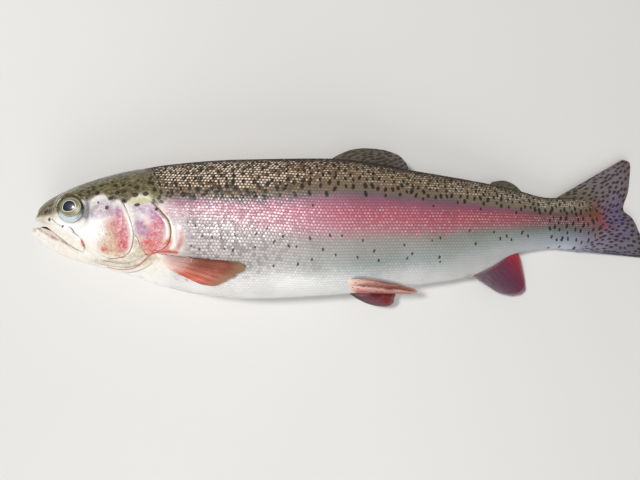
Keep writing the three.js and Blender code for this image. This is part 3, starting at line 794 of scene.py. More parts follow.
def group(name, inputs, outputs):
    """An empty shader node group with named sockets, and its wiring."""
    tree = bpy.data.node_groups.new(name, "ShaderNodeTree")
    for label, kind, default in inputs:
        socket = tree.interface.new_socket(label, in_out="INPUT", socket_type=kind)
        if default is not None:
            socket.default_value = default
    for label, kind in outputs:
        tree.interface.new_socket(label, in_out="OUTPUT", socket_type=kind)
    wiring = Wiring(tree)
    source = wiring.put("NodeGroupInput")
    sink = wiring.put("NodeGroupOutput")
    return tree, wiring, source.outputs, sink.inputs


def use(wiring, tree, **inputs):
    node = wiring.put("ShaderNodeGroup", node_tree=tree)
    for name, value in inputs.items():
        wiring.feed(node.inputs[name.replace("_", " ")], value)
    return node.outputs


def material(name, **shader):
    """A new material, its wiring and its main shader's sockets."""
    made = bpy.data.materials.new(name)
    made.use_nodes = True
    wiring = Wiring(made.node_tree)
    principled = made.node_tree.nodes["Principled BSDF"]
    for label, value in shader.items():
        principled.inputs[label.replace("_", " ")].default_value = value
    return made, wiring, principled.inputs


FLOAT, COLOUR = "NodeSocketFloat", "NodeSocketColor"

# Colours up the side, belly to ridge, at seven places along the body.
SIDE_COLOURS = {
    0.205: [
        (0, (248, 247, 244)), (0.22, (240, 238, 234)), (0.33, (198, 190, 186)), (0.43, (206, 194, 192)),
        (0.51, (222, 190, 192)), (0.585, (222, 200, 194)), (0.62, (188, 174, 152)),
        (0.66, (134, 122, 92)), (0.8, (116, 101, 66)), (0.92, (92, 80, 50)), (1, (56, 48, 28)),
    ],
    0.24: [
        (0, (248, 247, 244)), (0.22, (240, 238, 234)), (0.33, (186, 177, 174)), (0.43, (182, 168, 168)),
        (0.51, (190, 140, 157)), (0.585, (182, 132, 151)), (0.62, (146, 133, 132)),
        (0.66, (128, 110, 88)), (0.8, (124, 90, 60)), (0.92, (94, 68, 42)), (1, (42, 27, 15)),
    ],
    0.38: [
        (0, (228, 228, 224)), (0.2, (226, 226, 222)), (0.28, (182, 182, 178)), (0.41, (168, 160, 158)),
        (0.48, (182, 126, 141)), (0.555, (186, 108, 131)), (0.59, (164, 118, 136)),
        (0.63, (128, 117, 114)), (0.68, (124, 107, 84)), (0.85, (124, 93, 63)), (0.93, (98, 71, 45)),
        (1, (42, 28, 16)),
    ],
    0.54: [
        (0, (224, 223, 220)), (0.2, (190, 192, 190)), (0.28, (150, 159, 155)), (0.41, (152, 146, 140)),
        (0.47, (172, 104, 115)), (0.53, (182, 80, 98)), (0.58, (156, 92, 112)), (0.63, (120, 100, 108)),
        (0.68, (128, 111, 89)), (0.85, (123, 99, 71)), (1, (46, 33, 20)),
    ],
    0.72: [
        (0, (196, 194, 191)), (0.22, (180, 182, 181)), (0.32, (152, 159, 154)), (0.41, (130, 130, 122)),
        (0.47, (152, 90, 96)), (0.53, (162, 70, 82)), (0.58, (140, 80, 96)), (0.63, (120, 96, 102)),
        (0.68, (127, 114, 93)), (0.85, (127, 111, 87)), (1, (56, 43, 28)),
    ],
    0.85: [
        (0, (184, 188, 198)), (0.25, (152, 159, 168)), (0.38, (112, 117, 118)), (0.44, (108, 92, 86)),
        (0.53, (118, 76, 76)), (0.6, (112, 86, 80)), (0.66, (128, 117, 99)), (0.85, (130, 119, 99)),
        (1, (66, 54, 40)),
    ],
    0.91: [
        (0, (150, 148, 164)), (0.25, (140, 136, 152)), (0.4, (120, 96, 100)), (0.55, (134, 68, 54)),
        (0.7, (110, 84, 70)), (0.85, (106, 92, 76)), (1, (80, 68, 56)),
    ],
}


def side_paint():
    """The body's colour from its place in the pattern, with soft patchy variation."""
    tree, w, given, out = group(
        "trout_side_colours",
        [("Along", FLOAT, 0.5), ("Level", FLOAT, 0.5)],
        [("Colour", COLOUR), ("Pink", FLOAT), ("Flank", FLOAT), ("Back", FLOAT), ("Belly", FLOAT)],
    )
    level = w.plus(given["Level"], w.wander(w.noise(14, 3), 0.035))
    places = sorted(SIDE_COLOURS)
    colour = w.ramp(level, SIDE_COLOURS[places[0]])
    for before, place in zip(places, places[1:]):
        further = w.fade(given["Along"], before, place)
        colour = w.blend(further, colour, w.ramp(level, SIDE_COLOURS[place]))
    patchy = w.fade(w.noise(22, 2), 0.35, 0.65, 0.94, 1.05)
    grey = w.put("ShaderNodeCombineColor", {"Red": patchy, "Green": patchy, "Blue": patchy})
    w.feed(out["Colour"], w.blend(1.0, colour, grey.outputs[0], "MULTIPLY"))
    w.feed(out["Pink"], w.times(w.fade(level, 0.405, 0.475), w.fade(level, 0.615, 0.55)))
    w.feed(out["Flank"], w.fade(level, 0.475, 0.405))
    w.feed(out["Back"], w.fade(level, 0.585, 0.64))
    w.feed(out["Belly"], w.fade(level, 0.3, 0.16))
    return tree


def spot_paint():
    """Black spots with frayed edges, from the carried distance to the nearest one."""
    tree, w, given, out = group(
        "trout_spots", [("Distance", FLOAT, FAR), ("Fray", FLOAT, 0.5)], [("Spot", FLOAT)])
    frayed = w.plus(given["Distance"], w.wander(w.noise(0.9, 2), given["Fray"]))
    w.feed(out["Spot"], w.fade(frayed, 1.18, 0.8))
    return tree


SIDE_PAINT = side_paint()
SPOT_PAINT = spot_paint()
SPOT_BLACK = (32, 27, 24)


def spots_on(w, fray=0.5):
    """Where a piece's carried spots are."""
    [distance] = w.carried("spot")
    return use(w, SPOT_PAINT, Distance=distance, Fray=fray)["Spot"]


def scale_finish():
    """Wet scales: painted highlights on the middles, brighter on some, and painted shade on the rims."""
    made, w, shader = material("trout_scales", Coat_Roughness=0.14, Specular_IOR_Level=0.45)
    along, level, pearl_and_highlight, flash, bare = w.carried("along", "level", "pearl_and_highlight", "flash", "bare")
    paint = use(w, SIDE_PAINT, Along=along, Level=level)
    back, pink, belly = paint["Back"], paint["Pink"], paint["Belly"]
    front = w.fade(along, 0.5, 0.28)
    rear = w.rest(front)
    uneven = w.fade(w.noise(1.3, 3, 0.65), 0.36, 0.62, 0.2, 1.35)

    # Painted highlights on the middles of the scales, wide at the front and narrow at the rear.
    disc = w.plus(w.times(w.fade(pearl_and_highlight, 0.02, 0.55), front), w.times(w.fade(pearl_and_highlight, 0.3, 0.9), rear))
    flank_light = w.times(paint["Flank"], w.line(front, 0.25, 0.045))
    band_light = w.times(pink, w.line(w.fade(along, 0.85, 0.3), 0.11, 0.27))
    flashing, under_back = w.fade(flash, 0, 1, 0.4, 1.35), w.fade(level, 0.595, 0.545, 0.06, 1.0)
    light = w.times(w.plus(flank_light, band_light), flashing, disc, uneven, under_back)

    # Painted glints over the front of the back.
    high = w.times(w.fade(level, 0.69, 0.8, 0.03, 1.0), w.fade(level, 0.985, 0.92, 0.05, 1.0))
    ahead, behind_nape = w.fade(along, 0.48, 0.32, 0.24, 1.3), w.fade(along, 0.172, 0.205)
    brightest, middle = w.fade(flash, 0.1, 0.6, 0.2, 2.2), w.fade(pearl_and_highlight, 0.42, 0.78)
    light = w.plus(light, w.times(back, high, ahead, behind_nape, brightest, uneven, middle))

    # The rims keep the side's colour with painted shade where they overlap, darker on a few scales.
    shade = w.blend(w.line(front, 0.45, 0.4), (255, 255, 255), (166, 146, 150))
    shade = w.blend(belly, shade, (238, 236, 236))
    rim = w.blend(1.0, paint["Colour"], shade, "MULTIPLY")
    rim = w.blend(w.fade(pearl_and_highlight, 0.0, 0.45), rim, paint["Colour"])
    gap_shade = w.times(w.fade(flash, 0.3, 0.15), front, w.rest(belly), w.line(pink, -0.45, 0.8))
    rim = w.blend(gap_shade, rim, w.blend(back, (132, 120, 124), (50, 40, 28)))

    # The painted highlights are pink-white on the flank and cream on the back.
    pearl_and_glare = w.blend(w.times(pink, rear), (252, 240, 243), (252, 220, 227))
    colour = w.blend(light, rim, w.blend(back, pearl_and_glare, (255, 240, 218)))
    colour = w.lay(colour, w.blend(back, (240, 228, 226), (110, 100, 68)), bare, 0.8)
    spot = spots_on(w)
    black = w.blend(w.times(w.rest(back), front), SPOT_BLACK, (70, 62, 64))
    w.feed(shader["Base Color"], w.lay(colour, black, spot, 0.92))
    metallic = w.times(w.fade(pearl_and_highlight, 0.0, 0.8, 0.02, 0.16), w.line(spot, -0.8, 1.0))
    w.feed(shader["Metallic"], metallic)
    ridge = w.fade(level, 0.84, 0.96)
    w.feed(shader["Roughness"], w.line(ridge, 0.35, w.fade(flash, 0, 1, 0.55, 0.35)))
    w.feed(shader["Coat Weight"], w.line(w.fade(level, 0.6, 0.92), -0.17, 0.17))
    return made


# Colour, how strongly it shows, and how broken it is by speckle.
HEAD_COLOURS = {
    "ash": ((202, 189, 166), 0.9, 0.5),
    "tan": ((208, 160, 124), 0.95, 0.65),
    # The pearl dabs are white, with painted glare on the cheek.
    "pearl_and_glare": ((253, 252, 250), 1.0, 0.15),
    "lilac": ((176, 146, 180), 0.9, 0.8),
    "violet": ((162, 88, 150), 0.95, 0.55),
    "blush": ((204, 74, 98), 0.98, 0.5),
    "coral": ((210, 66, 50), 0.98, 0.45),
    "yolk": ((214, 206, 146), 0.95, 0.4),
    # The slate dabs are painted shade.
    "slate_shade": ((84, 86, 96), 0.9, 0.2),
    "fold": ((142, 114, 96), 0.9, 0.6),
    "lip": ((226, 180, 172), 0.8, 0.3),
}


def head_paint(w, rise, throat, side_colour):
    """The bare head: olive crown, ivory jaw and throat, and the dabs with their flecks."""
    mottle, fine = w.noise(2.6, 4, 0.65), w.noise(0.7, 3, 0.7)
    freckle = w.noise(1.7, 4, 0.7, stretch=(0.5, 1.5, 1))
    olive = w.blend(w.fade(mottle, 0.35, 0.65), (90, 82, 50), (128, 119, 79))
    olive = w.lay(olive, (150, 142, 118), w.fade(rise, 0.25, -0.02, 0, 0.45))
    olive = w.lay(olive, (72, 64, 40), w.fade(rise, 0.55, 1.0))
    olive = w.lay(olive, (62, 54, 36), w.fade(fine, 0.5, 0.62, 0, 0.35))
    olive = w.lay(olive, (62, 53, 32), w.fade(freckle, 0.51, 0.57, 0, 0.6))
    olive = w.lay(olive, (172, 162, 130), w.fade(freckle, 0.46, 0.4, 0, 0.5))
    ivory = w.blend(w.fade(mottle, 0.3, 0.7), (250, 245, 235), (234, 226, 212))
    ivory = w.blend(throat, ivory, side_colour)
    edge = w.plus(rise, w.wander(mottle, 0.2))
    head = w.blend(w.fade(edge, -0.08, 0.08), ivory, olive)

    grit = w.plus(w.times(mottle, 0.5), w.times(fine, 0.5))
    mask = dict(zip(HEAD_COLOURS, w.carried(*HEAD_COLOURS)))
    for name, (colour, strength, broken) in HEAD_COLOURS.items():
        speckle = w.fade(grit, 0.4, 0.6, 1 - broken, 1.0)
        head = w.lay(head, colour, mask[name], strength, speckle)

    rosy = w.most(mask["violet"], mask["blush"], mask["coral"])
    flecked, earthy = w.most(mask["lilac"], rosy), w.most(mask["tan"], mask["ash"])
    cells = w.noise(1.3, 3, 0.6)
    deep = w.times(w.fade(cells, 0.49, 0.4), w.fade(w.noise(3.4, 2), 0.4, 0.6, 0.25, 1.0))
    head = w.lay(head, (158, 62, 92), deep, rosy, 0.5)
    inky = w.fade(w.noise(1.1, 3, 0.6), 0.52, 0.6)
    head = w.lay(head, (108, 94, 122), inky, mask["lilac"], 0.5)
    pale = w.times(w.fade(cells, 0.53, 0.6), w.fade(w.noise(5, 2), 0.35, 0.6))
    head = w.lay(head, (244, 222, 232), pale, flecked, 0.66)
    head = w.lay(head, (138, 122, 84), w.fade(w.noise(1.0, 3, 0.65), 0.53, 0.62), earthy, 0.6)
    head = w.lay(head, (246, 232, 200), w.fade(w.noise(1.2, 3, 0.65), 0.46, 0.38), earthy, 0.5)
    return head, mottle, fine


def skin_finish():
    """The bare wet head and, under the scales, the same colours as they carry."""
    made, w, shader = material(
        "trout_skin", Coat_Weight=0.45, Coat_Roughness=0.12, Specular_IOR_Level=0.5,
        Subsurface_Weight=0.06, Subsurface_Scale=0.002)
    along, level, rise, coated = w.carried("along", "level", "rise", "coated")
    wrinkle_shade, drawn, sore, hollow = w.carried("wrinkle_shade", "drawn", "sore", "hollow")
    paint = use(w, SIDE_PAINT, Along=along, Level=level)
    throat = w.times(w.fade(along, 0.1, 0.2), w.fade(level, 0.3, 0.12))
    head, mottle, fine = head_paint(w, rise, throat, paint["Colour"])
    colour = w.blend(coated, head, paint["Colour"])
    # Painted shade along the folds of the jaw and throat.
    colour = w.lay(colour, (140, 126, 106), w.fade(wrinkle_shade, 0.6, 0.1, 0, 0.65))
    uneven = w.times(w.fade(w.noise(6, 2), 0.4, 0.58, 0.5, 0.95), drawn)
    for line in w.carried(*CREASES):
        near = w.fade(w.calc("ABSOLUTE", line), 0.36, 0.1)
        colour = w.lay(colour, (104, 62, 56), near, uneven)
    # Gill slit and armpit: orange edges, and a core of red flesh darkened as painted shade in the gap.
    for line in w.carried(*OPENINGS):
        gap = w.calc("ABSOLUTE", line)
        colour = w.lay(colour, (232, 156, 104), w.fade(gap, 1.0, 0.25, 0, 0.4), drawn)
        colour = w.lay(colour, (122, 56, 42), w.fade(gap, 0.3, 0.08, 0, 0.85), drawn)
    colour = w.lay(colour, (196, 56, 66), w.fade(sore, 2.4, 0.1, 0, 0.45))
    colour = w.lay(colour, (40, 36, 30), spots_on(w, 0.35), 0.9)
    # Painted shade in the hollows.
    w.feed(shader["Base Color"], w.lay(colour, (44, 34, 30), hollow))
    w.feed(shader["Roughness"], w.fade(mottle, 0.3, 0.7, 0.26, 0.4))
    height = w.plus(w.times(mottle, 0.6), w.times(fine, 0.4))
    bump = w.put("ShaderNodeBump", {"Strength": 0.25, "Distance": 0.0003, "Height": height})
    w.feed(shader["Normal"], bump.outputs[0])
    return made


def mouth_finish():
    made, w, shader = material("mouth_lining", Coat_Weight=0.6, Coat_Roughness=0.1)
    # The lining's red-brown is darkened as painted shade inside the mouth.
    w.feed(shader["Base Color"], w.ramp(w.noise(2, 3), [(0.3, (84, 46, 42)), (0.7, (132, 84, 74))]))
    w.feed(shader["Roughness"], w.fade(w.noise(1.2, 2), 0.3, 0.7, 0.3, 0.5))
    return made


SKIN = skin_finish()
SCALES = scale_finish()
MOUTH = mouth_finish()

# ------------------------------------------------------------------ skin
COAT_DEPTH = 0.38  # how far the skin is sunk where scales cover it
LEFT_POINTS, RIGHT_POINTS = 160, 90  # points of a ring on each side
RING_SAMPLES = 721  # turns at which a ring's length is measured
HEAD_STRIDE, TRUNK_STRIDE = 0.46, 3.0  # from ring to ring
NOSE_RINGS, TAIL_RINGS = 8, 14
HEAD_LENGTH, TAIL_START = 108.0, FLESH_END - 6
LINES_END = 125.0  # s that no line of the head reaches
SNOUT_BLUNTED = 1.2  # how far the tip of the upper jaw is drawn back
OLIVE_EDGE = [  # where the crown's olive starts on the head
    (0, 2), (14, 3.4), (24, 5), (33, 12), (40, 13), (46, 13.6), (50, 15.8), (54, 16.8), (57, 15.8),
    (59.5, 13.2), (63.6, 12.3), (66, 13.6), (70, 11.3), (73, 12.4), (76, 15.4), (82, 16.6),
    (86.5, 15), (89, 10.6), (100, 9),
]
olive_edge_at = curve(OLIVE_EDGE)


def skin_stations():
    """s of every ring of the skin, close together on the nose, the head and the tail's end."""
    nose = JAW_TIP + (BLUNT - JAW_TIP) * (np.arange(1, NOSE_RINGS + 1) / NOSE_RINGS) ** 2
    head = np.arange(BLUNT + HEAD_STRIDE, HEAD_LENGTH, HEAD_STRIDE)
    trunk = np.arange(HEAD_LENGTH, TAIL_START, TRUNK_STRIDE)
    return np.concatenate([nose, head, trunk, np.linspace(TAIL_START, SKIN_END, TAIL_RINGS)])


def ring_turns(stations):
    """Evenly spaced turns round each station: fine on the left side, coarser on the right."""
    dense = np.linspace(0, math.pi, RING_SAMPLES)
    run = run_round(*ring_point(stations[:, None], dense[None, :]))
    run /= run[:, -1:]
    left = np.arange(LEFT_POINTS) / LEFT_POINTS
    right = 1 - np.arange(RIGHT_POINTS + 1) / RIGHT_POINTS
    return np.array([
        np.concatenate([np.interp(left, r, dense), 2 * math.pi - np.interp(right, r, dense)]) for r in run
    ])


def outward(points):
    """Unit normals of a ring-by-station grid of points."""
    along = np.gradient(points, axis=0)
    around = np.empty_like(points)
    around[:, 1:-1] = points[:, 2:] - points[:, :-2]
    around[:, 0] = around[:, -1] = points[:, 1] - points[:, -2]
    normal = np.cross(around, along)
    return normal / np.maximum(np.linalg.norm(normal, axis=-1, keepdims=True), 1e-9)


def skin_surface(stations, turns):
    """The skin's points; then s, y, side, share of scales and how squarely it lies, at each."""
    s = np.repeat(stations[:, None], turns.shape[1], axis=1)
    y, z = ring_point(s, turns)
    left = np.sin(turns) >= 0
    points = np.stack([s, y, z], -1)
    normal = outward(points)
    coated = smoothstep(-3, 4, s - front_of_scales(y))
    in_head = stations < HEAD_LENGTH + 1
    relief = np.zeros_like(s)
    relief[in_head] = head_relief(s[in_head], y[in_head]) * smoothstep(JAW_TIP, 4, s[in_head])
    relief = relief * (1 - smoothstep(104, 110, s)) - COAT_DEPTH * coated + body_relief(s, y, left)
    points += normal * relief[..., None]
    points[..., 0] = tail_warp(points[..., 0], y)
    points[..., 0] += SNOUT_BLUNTED * smoothstep(9, 1.5, s) * smoothstep(-1, 1, y) * smoothstep(10, 5, y)
    points[..., 2] = np.maximum(points[..., 2], COAT_DEPTH * coated)
    return points, s, y, left, coated, np.abs(normal[..., 2])


def head_lines(s, y, squarely):
    """Carried distances from the head's lines, and where those are drawn."""
    lines = {name: np.full(s.shape, FAR) for name in (*DRAWN_LINES, *SOFT_LINES)}
    near = s < LINES_END
    drawn = np.zeros(s.shape)
    for name, path in DRAWN_LINES.items():
        lines[name][near] = side_distance(s[near], y[near], path)
        reach = smoothstep(1.0, 0.5, path_distance(s[near], y[near], path))
        if name == "gill_line":
            reach *= smoothstep(11, 7, y[near])
        drawn[near] = np.maximum(drawn[near], reach)
    for name, paths in SOFT_LINES.items():
        for path in paths:
            lines[name][near] = np.minimum(lines[name][near], path_distance(s[near], y[near], path))
    lines["wrinkle_shade"] += 3 * smoothstep(0.5, 0.25, squarely)
    lines["drawn"] = drawn * smoothstep(0.15, 0.4, squarely)
    return lines


def build_skin():
    stations = skin_stations()
    points, *grids = skin_surface(stations, ring_turns(stations))
    skin = sheet_of("skin", points.shape[1], points.shape[0])
    shape(skin, points)
    s, y, left, coated, squarely = [grid.ravel() for grid in grids]
    arc = arc_at(s, y)
    spot = np.where(left, read_field(SPOTS[True], s, arc), read_field(SPOTS[False], s, arc))
    edge = olive_edge_at(s)
    rise = (y - edge) / np.maximum(back_at(s) - edge, 6)
    from_eye = np.hypot(s - EYE["s"], y - EYE["y"])
    # Painted shade in the eye socket and the nostril pits.
    hollow = smoothstep(SOCKET_RADIUS + 0.1, SOCKET_RADIUS - 0.5, from_eye)
    for ns, ny, radius, _ in NOSTRILS:
        hollow = np.maximum(hollow, smoothstep(radius + 0.3, radius - 0.2, np.hypot(s - ns, y - ny)))
    carry(skin, along=s / PATTERN_LENGTH, level=level_of(s, y), spot=spot, rise=rise, coated=coated,
          hollow=hollow, **head_lines(s, y, squarely))
    carry(skin, **{name: dab_mask(s, y, dabs) for name, dabs in DABS.items()})
    weld(skin, 2e-6)
    close_ends(skin)
    skin.data.materials.append(SKIN)
    cut_mouth(skin)
    return finish_piece(skin, SKIN, [
        "head", "lower_jaw", "maxilla_left", "maxilla_right", "cheek_left", "cheek_right",
        "gill_cover_left", "gill_cover_right", "trunk", "tail_stalk",
    ], angle=75)


def close_ends(piece):
    """Closes a piece's open rings and turns its faces outwards."""
    only(piece)
    bpy.ops.object.mode_set(mode="EDIT")
    bpy.ops.mesh.select_all(action="DESELECT")
    bpy.ops.mesh.select_non_manifold(extend=False)
    bpy.ops.mesh.fill_holes(sides=0)
    bpy.ops.mesh.select_all(action="SELECT")
    bpy.ops.mesh.normals_make_consistent(inside=False)
    bpy.ops.object.mode_set(mode="OBJECT")


MOUTH_CORNER = 17.6  # s where the lips meet
MOUTH_ROWS, MOUTH_COLUMNS = 26, 31
PALATE_RISE, FLOOR_DROP, TONGUE_RISE = 1.3, 1.6, 2.4
LIP_GAP = 0.35  # least opening between the lips


def cut_mouth(skin):
    """Opens the mouth between the lips, with a palate above and a tongue below."""
    upper, lower = curve(UPPER_LIP), curve(LOWER_LIP)
    across = np.linspace(-1, 1, MOUTH_COLUMNS)[None, :]
    s = np.linspace(-4, MOUTH_CORNER, MOUTH_ROWS)[:, None] + 0 * across
    z = lift_at(s) + across * (half_width_at(np.maximum(s, 4)) + 4)
    aside = np.abs(z - lift_at(s))
    inner = smoothstep(2.6, 4.6, half_width_at(s) + 4 - aside - 1.6) * smoothstep(2, 5, s)
    deep = smoothstep(MOUTH_CORNER, 14, s)
    tongue = smoothstep(4.4, 2.6, aside) * smoothstep(4, 7, s)
    top = upper(s) + PALATE_RISE * inner * deep
    bottom = lower(s) - (FLOOR_DROP * inner - TONGUE_RISE * tongue * inner) * deep
    bottom = np.minimum(bottom, top - LIP_GAP)
    rings = wrapped(np.stack([s, top, z], -1), np.stack([s, bottom, z], -1), 0)
    cutter = sheet_of("mouth_cutter", rings.shape[1], MOUTH_ROWS)
    shape(cutter, rings)
    weld(cutter)
    close_ends(cutter)
    cutter.data.materials.append(MOUTH)
    only(skin)
    cut = skin.modifiers.new("mouth", "BOOLEAN")
    cut.object = cutter
    cut.operation = "DIFFERENCE"
    cut.solver = "EXACT"
    cut.material_mode = "TRANSFER"
    bpy.ops.object.modifier_apply(modifier=cut.name)
    bpy.data.objects.remove(cutter)


build_skin()


# ------------------------------------------------------------------ scales
SCALE_ALONG, SCALE_ACROSS = 2.2, 1.93  # spacing of scales at mid-body, along and between rows
SCALE_FRONT, SCALE_REAR, SCALE_HALF_WIDTH = 1.6, 1.34, 1.32
SCALE_SIDE = 5  # points along each side of a scale's grid
SCALE_DOME, SCALE_LIFT, SCALE_SINK = 0.16, 0.27, 0.08
COAT_END = 394.0
EDGE_SCALE = 0.32  # size of the scales at the coat's edges, as a share of those inside it
FIRST_SCALE, SCALE_ROWS = 66.0, 42  # s where the rows start, and rows on each side of the lateral line
SCALE_CURL = 44.0  # the larger, the flatter a scale is across
SCALE_GAP = 0.02  # least room between a scale's top and the coat's outer surface
FLOOR_GAP = 0.01  # least height of a scale over the floor
SIZE_SPREAD, TILT_SPREAD, LEVEL_SPREAD = 0.04, 0.035, 0.006  # how far one scale differs from another
TURN_STEP = 0.02  # for the slope round the body
BAKE_PATCH, BAKE_FILL = 0.003, 0.9  # width of a scale's place on the bake map, and the share it fills
BAKE_MARGIN, BAKE_WIDTH = 0.03, 0.94  # where the coat starts on the map, and how much it takes up
BAKE_ALONG, BAKE_AROUND = 400.0, 280.0  # millimetres of the coat for its width and for the map's height
BAKE_LINE = {True: 0.76, False: 0.26}  # the lateral line's height on the map, on the left and right flank
SCALE_SIZE = [(84, 1.0), (290, 1.0), (325, 0.95), (350, 0.84), (388, 0.68)]
scale_size_at = curve(SCALE_SIZE)


def scale_pattern():
    """One scale: grid points as (along, across, height, painted highlight and pearl), from front to rear.
    """
    side = np.linspace(-1, 1, SCALE_SIDE)
    u, v = [g.ravel() for g in np.meshgrid(side, side, indexing="ij")]
    x = u * np.sqrt(1 - v * v / 2)
    y = v * np.sqrt(1 - u * u / 2)
    out = np.hypot(x, y)
    along = np.where(x > 0, x * SCALE_REAR, x * SCALE_FRONT)
    across = y * SCALE_HALF_WIDTH * (1 - 0.12 * np.maximum(x, 0))
    slope = -SCALE_SINK + (SCALE_LIFT + SCALE_SINK) * (x + 1) / 2
    pearl_and_glint = np.clip(1 - (0.75 * x * x + 1.35 * y * y) ** 0.75, 0, 1)
    return along, across, slope + SCALE_DOME * (1 - out**2), pearl_and_glint


def scale_faces():
    """Corners of one scale's faces: those of its domed top, and the one that closes it underneath."""
    grid = np.arange(SCALE_SIDE**2).reshape(SCALE_SIDE, SCALE_SIDE)
    corners = [grid[:-1, :-1], grid[1:, :-1], grid[1:, 1:], grid[:-1, 1:]]
    rim = [*grid[0], *grid[1:, -1], *grid[-1, -2::-1], *grid[-2:0:-1, 0]]
    return np.stack(corners, -1).reshape(-1, 4), np.array(rim)


def scale_places(rng):
    """s, distance from the lateral line and size of every scale, in rows that follow that line."""
    places = []
    for row in range(-SCALE_ROWS, SCALE_ROWS + 1):
        s = FIRST_SCALE + (0.5 if row % 2 else 0.0) * SCALE_ALONG
        while s < COAT_END:
            size = float(scale_size_at(s))
            places.append((s, row * SCALE_ACROSS * size, size))
            s += SCALE_ALONG * size
    s, arc, size = np.array(places).T
    loose = 1 + 1.6 * smoothstep(200, 130, s)
    return s + rng.normal(0, 0.05, len(s)) * loose, arc + rng.normal(0, 0.04, len(s)) * loose, size


def surface_at(s, arc, left):
    """The skin's points under the scales, and its directions along, across and outwards there."""
    side = 1 if left else -1
    low = np.clip(s.astype(int), 0, len(ARC_STATIONS) - 2)
    share = s - low
    turn = np.empty(len(s))
    for k in np.unique(low):
        pick = low == k
        before, after = [np.interp(arc[pick], ARC_RUN[row][::-1], ARC_TURNS[::-1]) for row in (k, k + 1)]
        turn[pick] = before * (1 - share[pick]) + after * share[pick]
    turn *= side

    def point(at_s, at_turn):
        y, z = ring_point(at_s, at_turn)
        return np.stack([tail_warp(at_s, y), y, z], -1)

    here = point(s, turn)
    along = point(s + 0.5, turn) - point(s - 0.5, turn)
    across = side * (point(s, turn - TURN_STEP) - point(s, turn + TURN_STEP))
    along /= np.linalg.norm(along, axis=1, keepdims=True)
    across /= np.linalg.norm(across, axis=1, keepdims=True)
    normal = np.cross(along, across) * side
    return here + body_relief(s, here[:, 1], left)[:, None] * normal, along, across, normal


def grown_scales(left, rng):
    """The scales inside the coat's edges: s, arc, size and y in columns, then places and directions."""
    s, arc, size = scale_places(rng)
    station = np.clip(np.round(s).astype(int), 0, len(ARC_STATIONS) - 1)
    keep = (arc < ARC_RUN[station, 0] - 0.2) & (arc > ARC_RUN[station, -1] + 0.2)
    s, arc, size = s[keep], arc[keep], size[keep]
    here, along, across, normal = surface_at(s, arc, left)
    y = here[:, 1]
    keep = s > front_of_scales(y) - 1.0 + np.abs(rng.normal(0, 2.0, len(s)))
    keep &= s < COAT_END - np.abs(rng.normal(0, 2.2, len(s)))
    behind_gills = (y < -14) & (y > -30) & (s < 104 + (y + 30) * 0.2)
    keep &= ~behind_gills
    columns = [values[keep][:, None] for values in (s, arc, size, y)]
    return columns, [values[keep] for values in (here, along, across, normal)]


def scale_coat(left, seed):
    """One flank's scales: s of each, then points, carried values and bake places, scale by scale."""
    rng = np.random.default_rng(seed)
    (s, arc, size, y), (here, along, across, normal) = grown_scales(left, rng)
    each = (len(s), 1)
    from_head = s - front_of_scales(y)
    fade = EDGE_SCALE + (1 - EDGE_SCALE) * smoothstep(0, 18, from_head) * smoothstep(397, 382, s)
    width = size * fade * rng.normal(1, SIZE_SPREAD, each)
    length = size * (0.7 + 0.3 * fade) * rng.normal(1, SIZE_SPREAD, each)
    base = here - normal * COAT_DEPTH
    resting = base[:, 2] < COAT_DEPTH
    base[resting, 2] = COAT_DEPTH
    normal[resting] = (0, 0, -1)
    along[resting, 2] = 0
    across[resting, 2] = 0
    tilt = rng.normal(0, TILT_SPREAD, (len(s), 2))
    local_along, local_across, local_height, pearl_and_glint = scale_pattern()
    u, v = local_along * length, local_across * width
    height = local_height * (np.minimum(size, 1) * fade)
    height = height + tilt[:, :1] * u * 0.3 + tilt[:, 1:] * v * 0.5 - v * v / SCALE_CURL
    height = np.minimum(height, COAT_DEPTH - SCALE_GAP)
    points = base[:, None]
    for distance, direction in ((u, along), (v, across), (height, normal)):
        points = points + distance[..., None] * direction[:, None]
    points[..., 2] = np.maximum(points[..., 2], FLOOR_GAP)

    level = level_of(s + u, y + v * across[:, 1:2])
    spot = read_field(SPOTS[left], np.clip(s + u, 0, FIELD_END - 1), arc + v)
    values = dict(along=s / PATTERN_LENGTH, spot=spot, pearl_and_highlight=pearl_and_glint, flash=rng.random(each))
    values["level"] = level + rng.normal(0, LEVEL_SPREAD, each)
    values["bare"] = 0.85 * smoothstep(10, 0, from_head + rng.normal(0, 2.5, each))
    values = {name: np.broadcast_to(value, u.shape) for name, value in values.items()}
    root = [BAKE_MARGIN + BAKE_WIDTH * s / BAKE_ALONG, BAKE_LINE[left] + arc / BAKE_AROUND]
    patch = np.stack([u / SCALE_FRONT, v / SCALE_HALF_WIDTH], -1)
    bake = np.stack(root, -1) + BAKE_PATCH / 2 * patch * BAKE_FILL
    return s[:, 0], points, values, bake


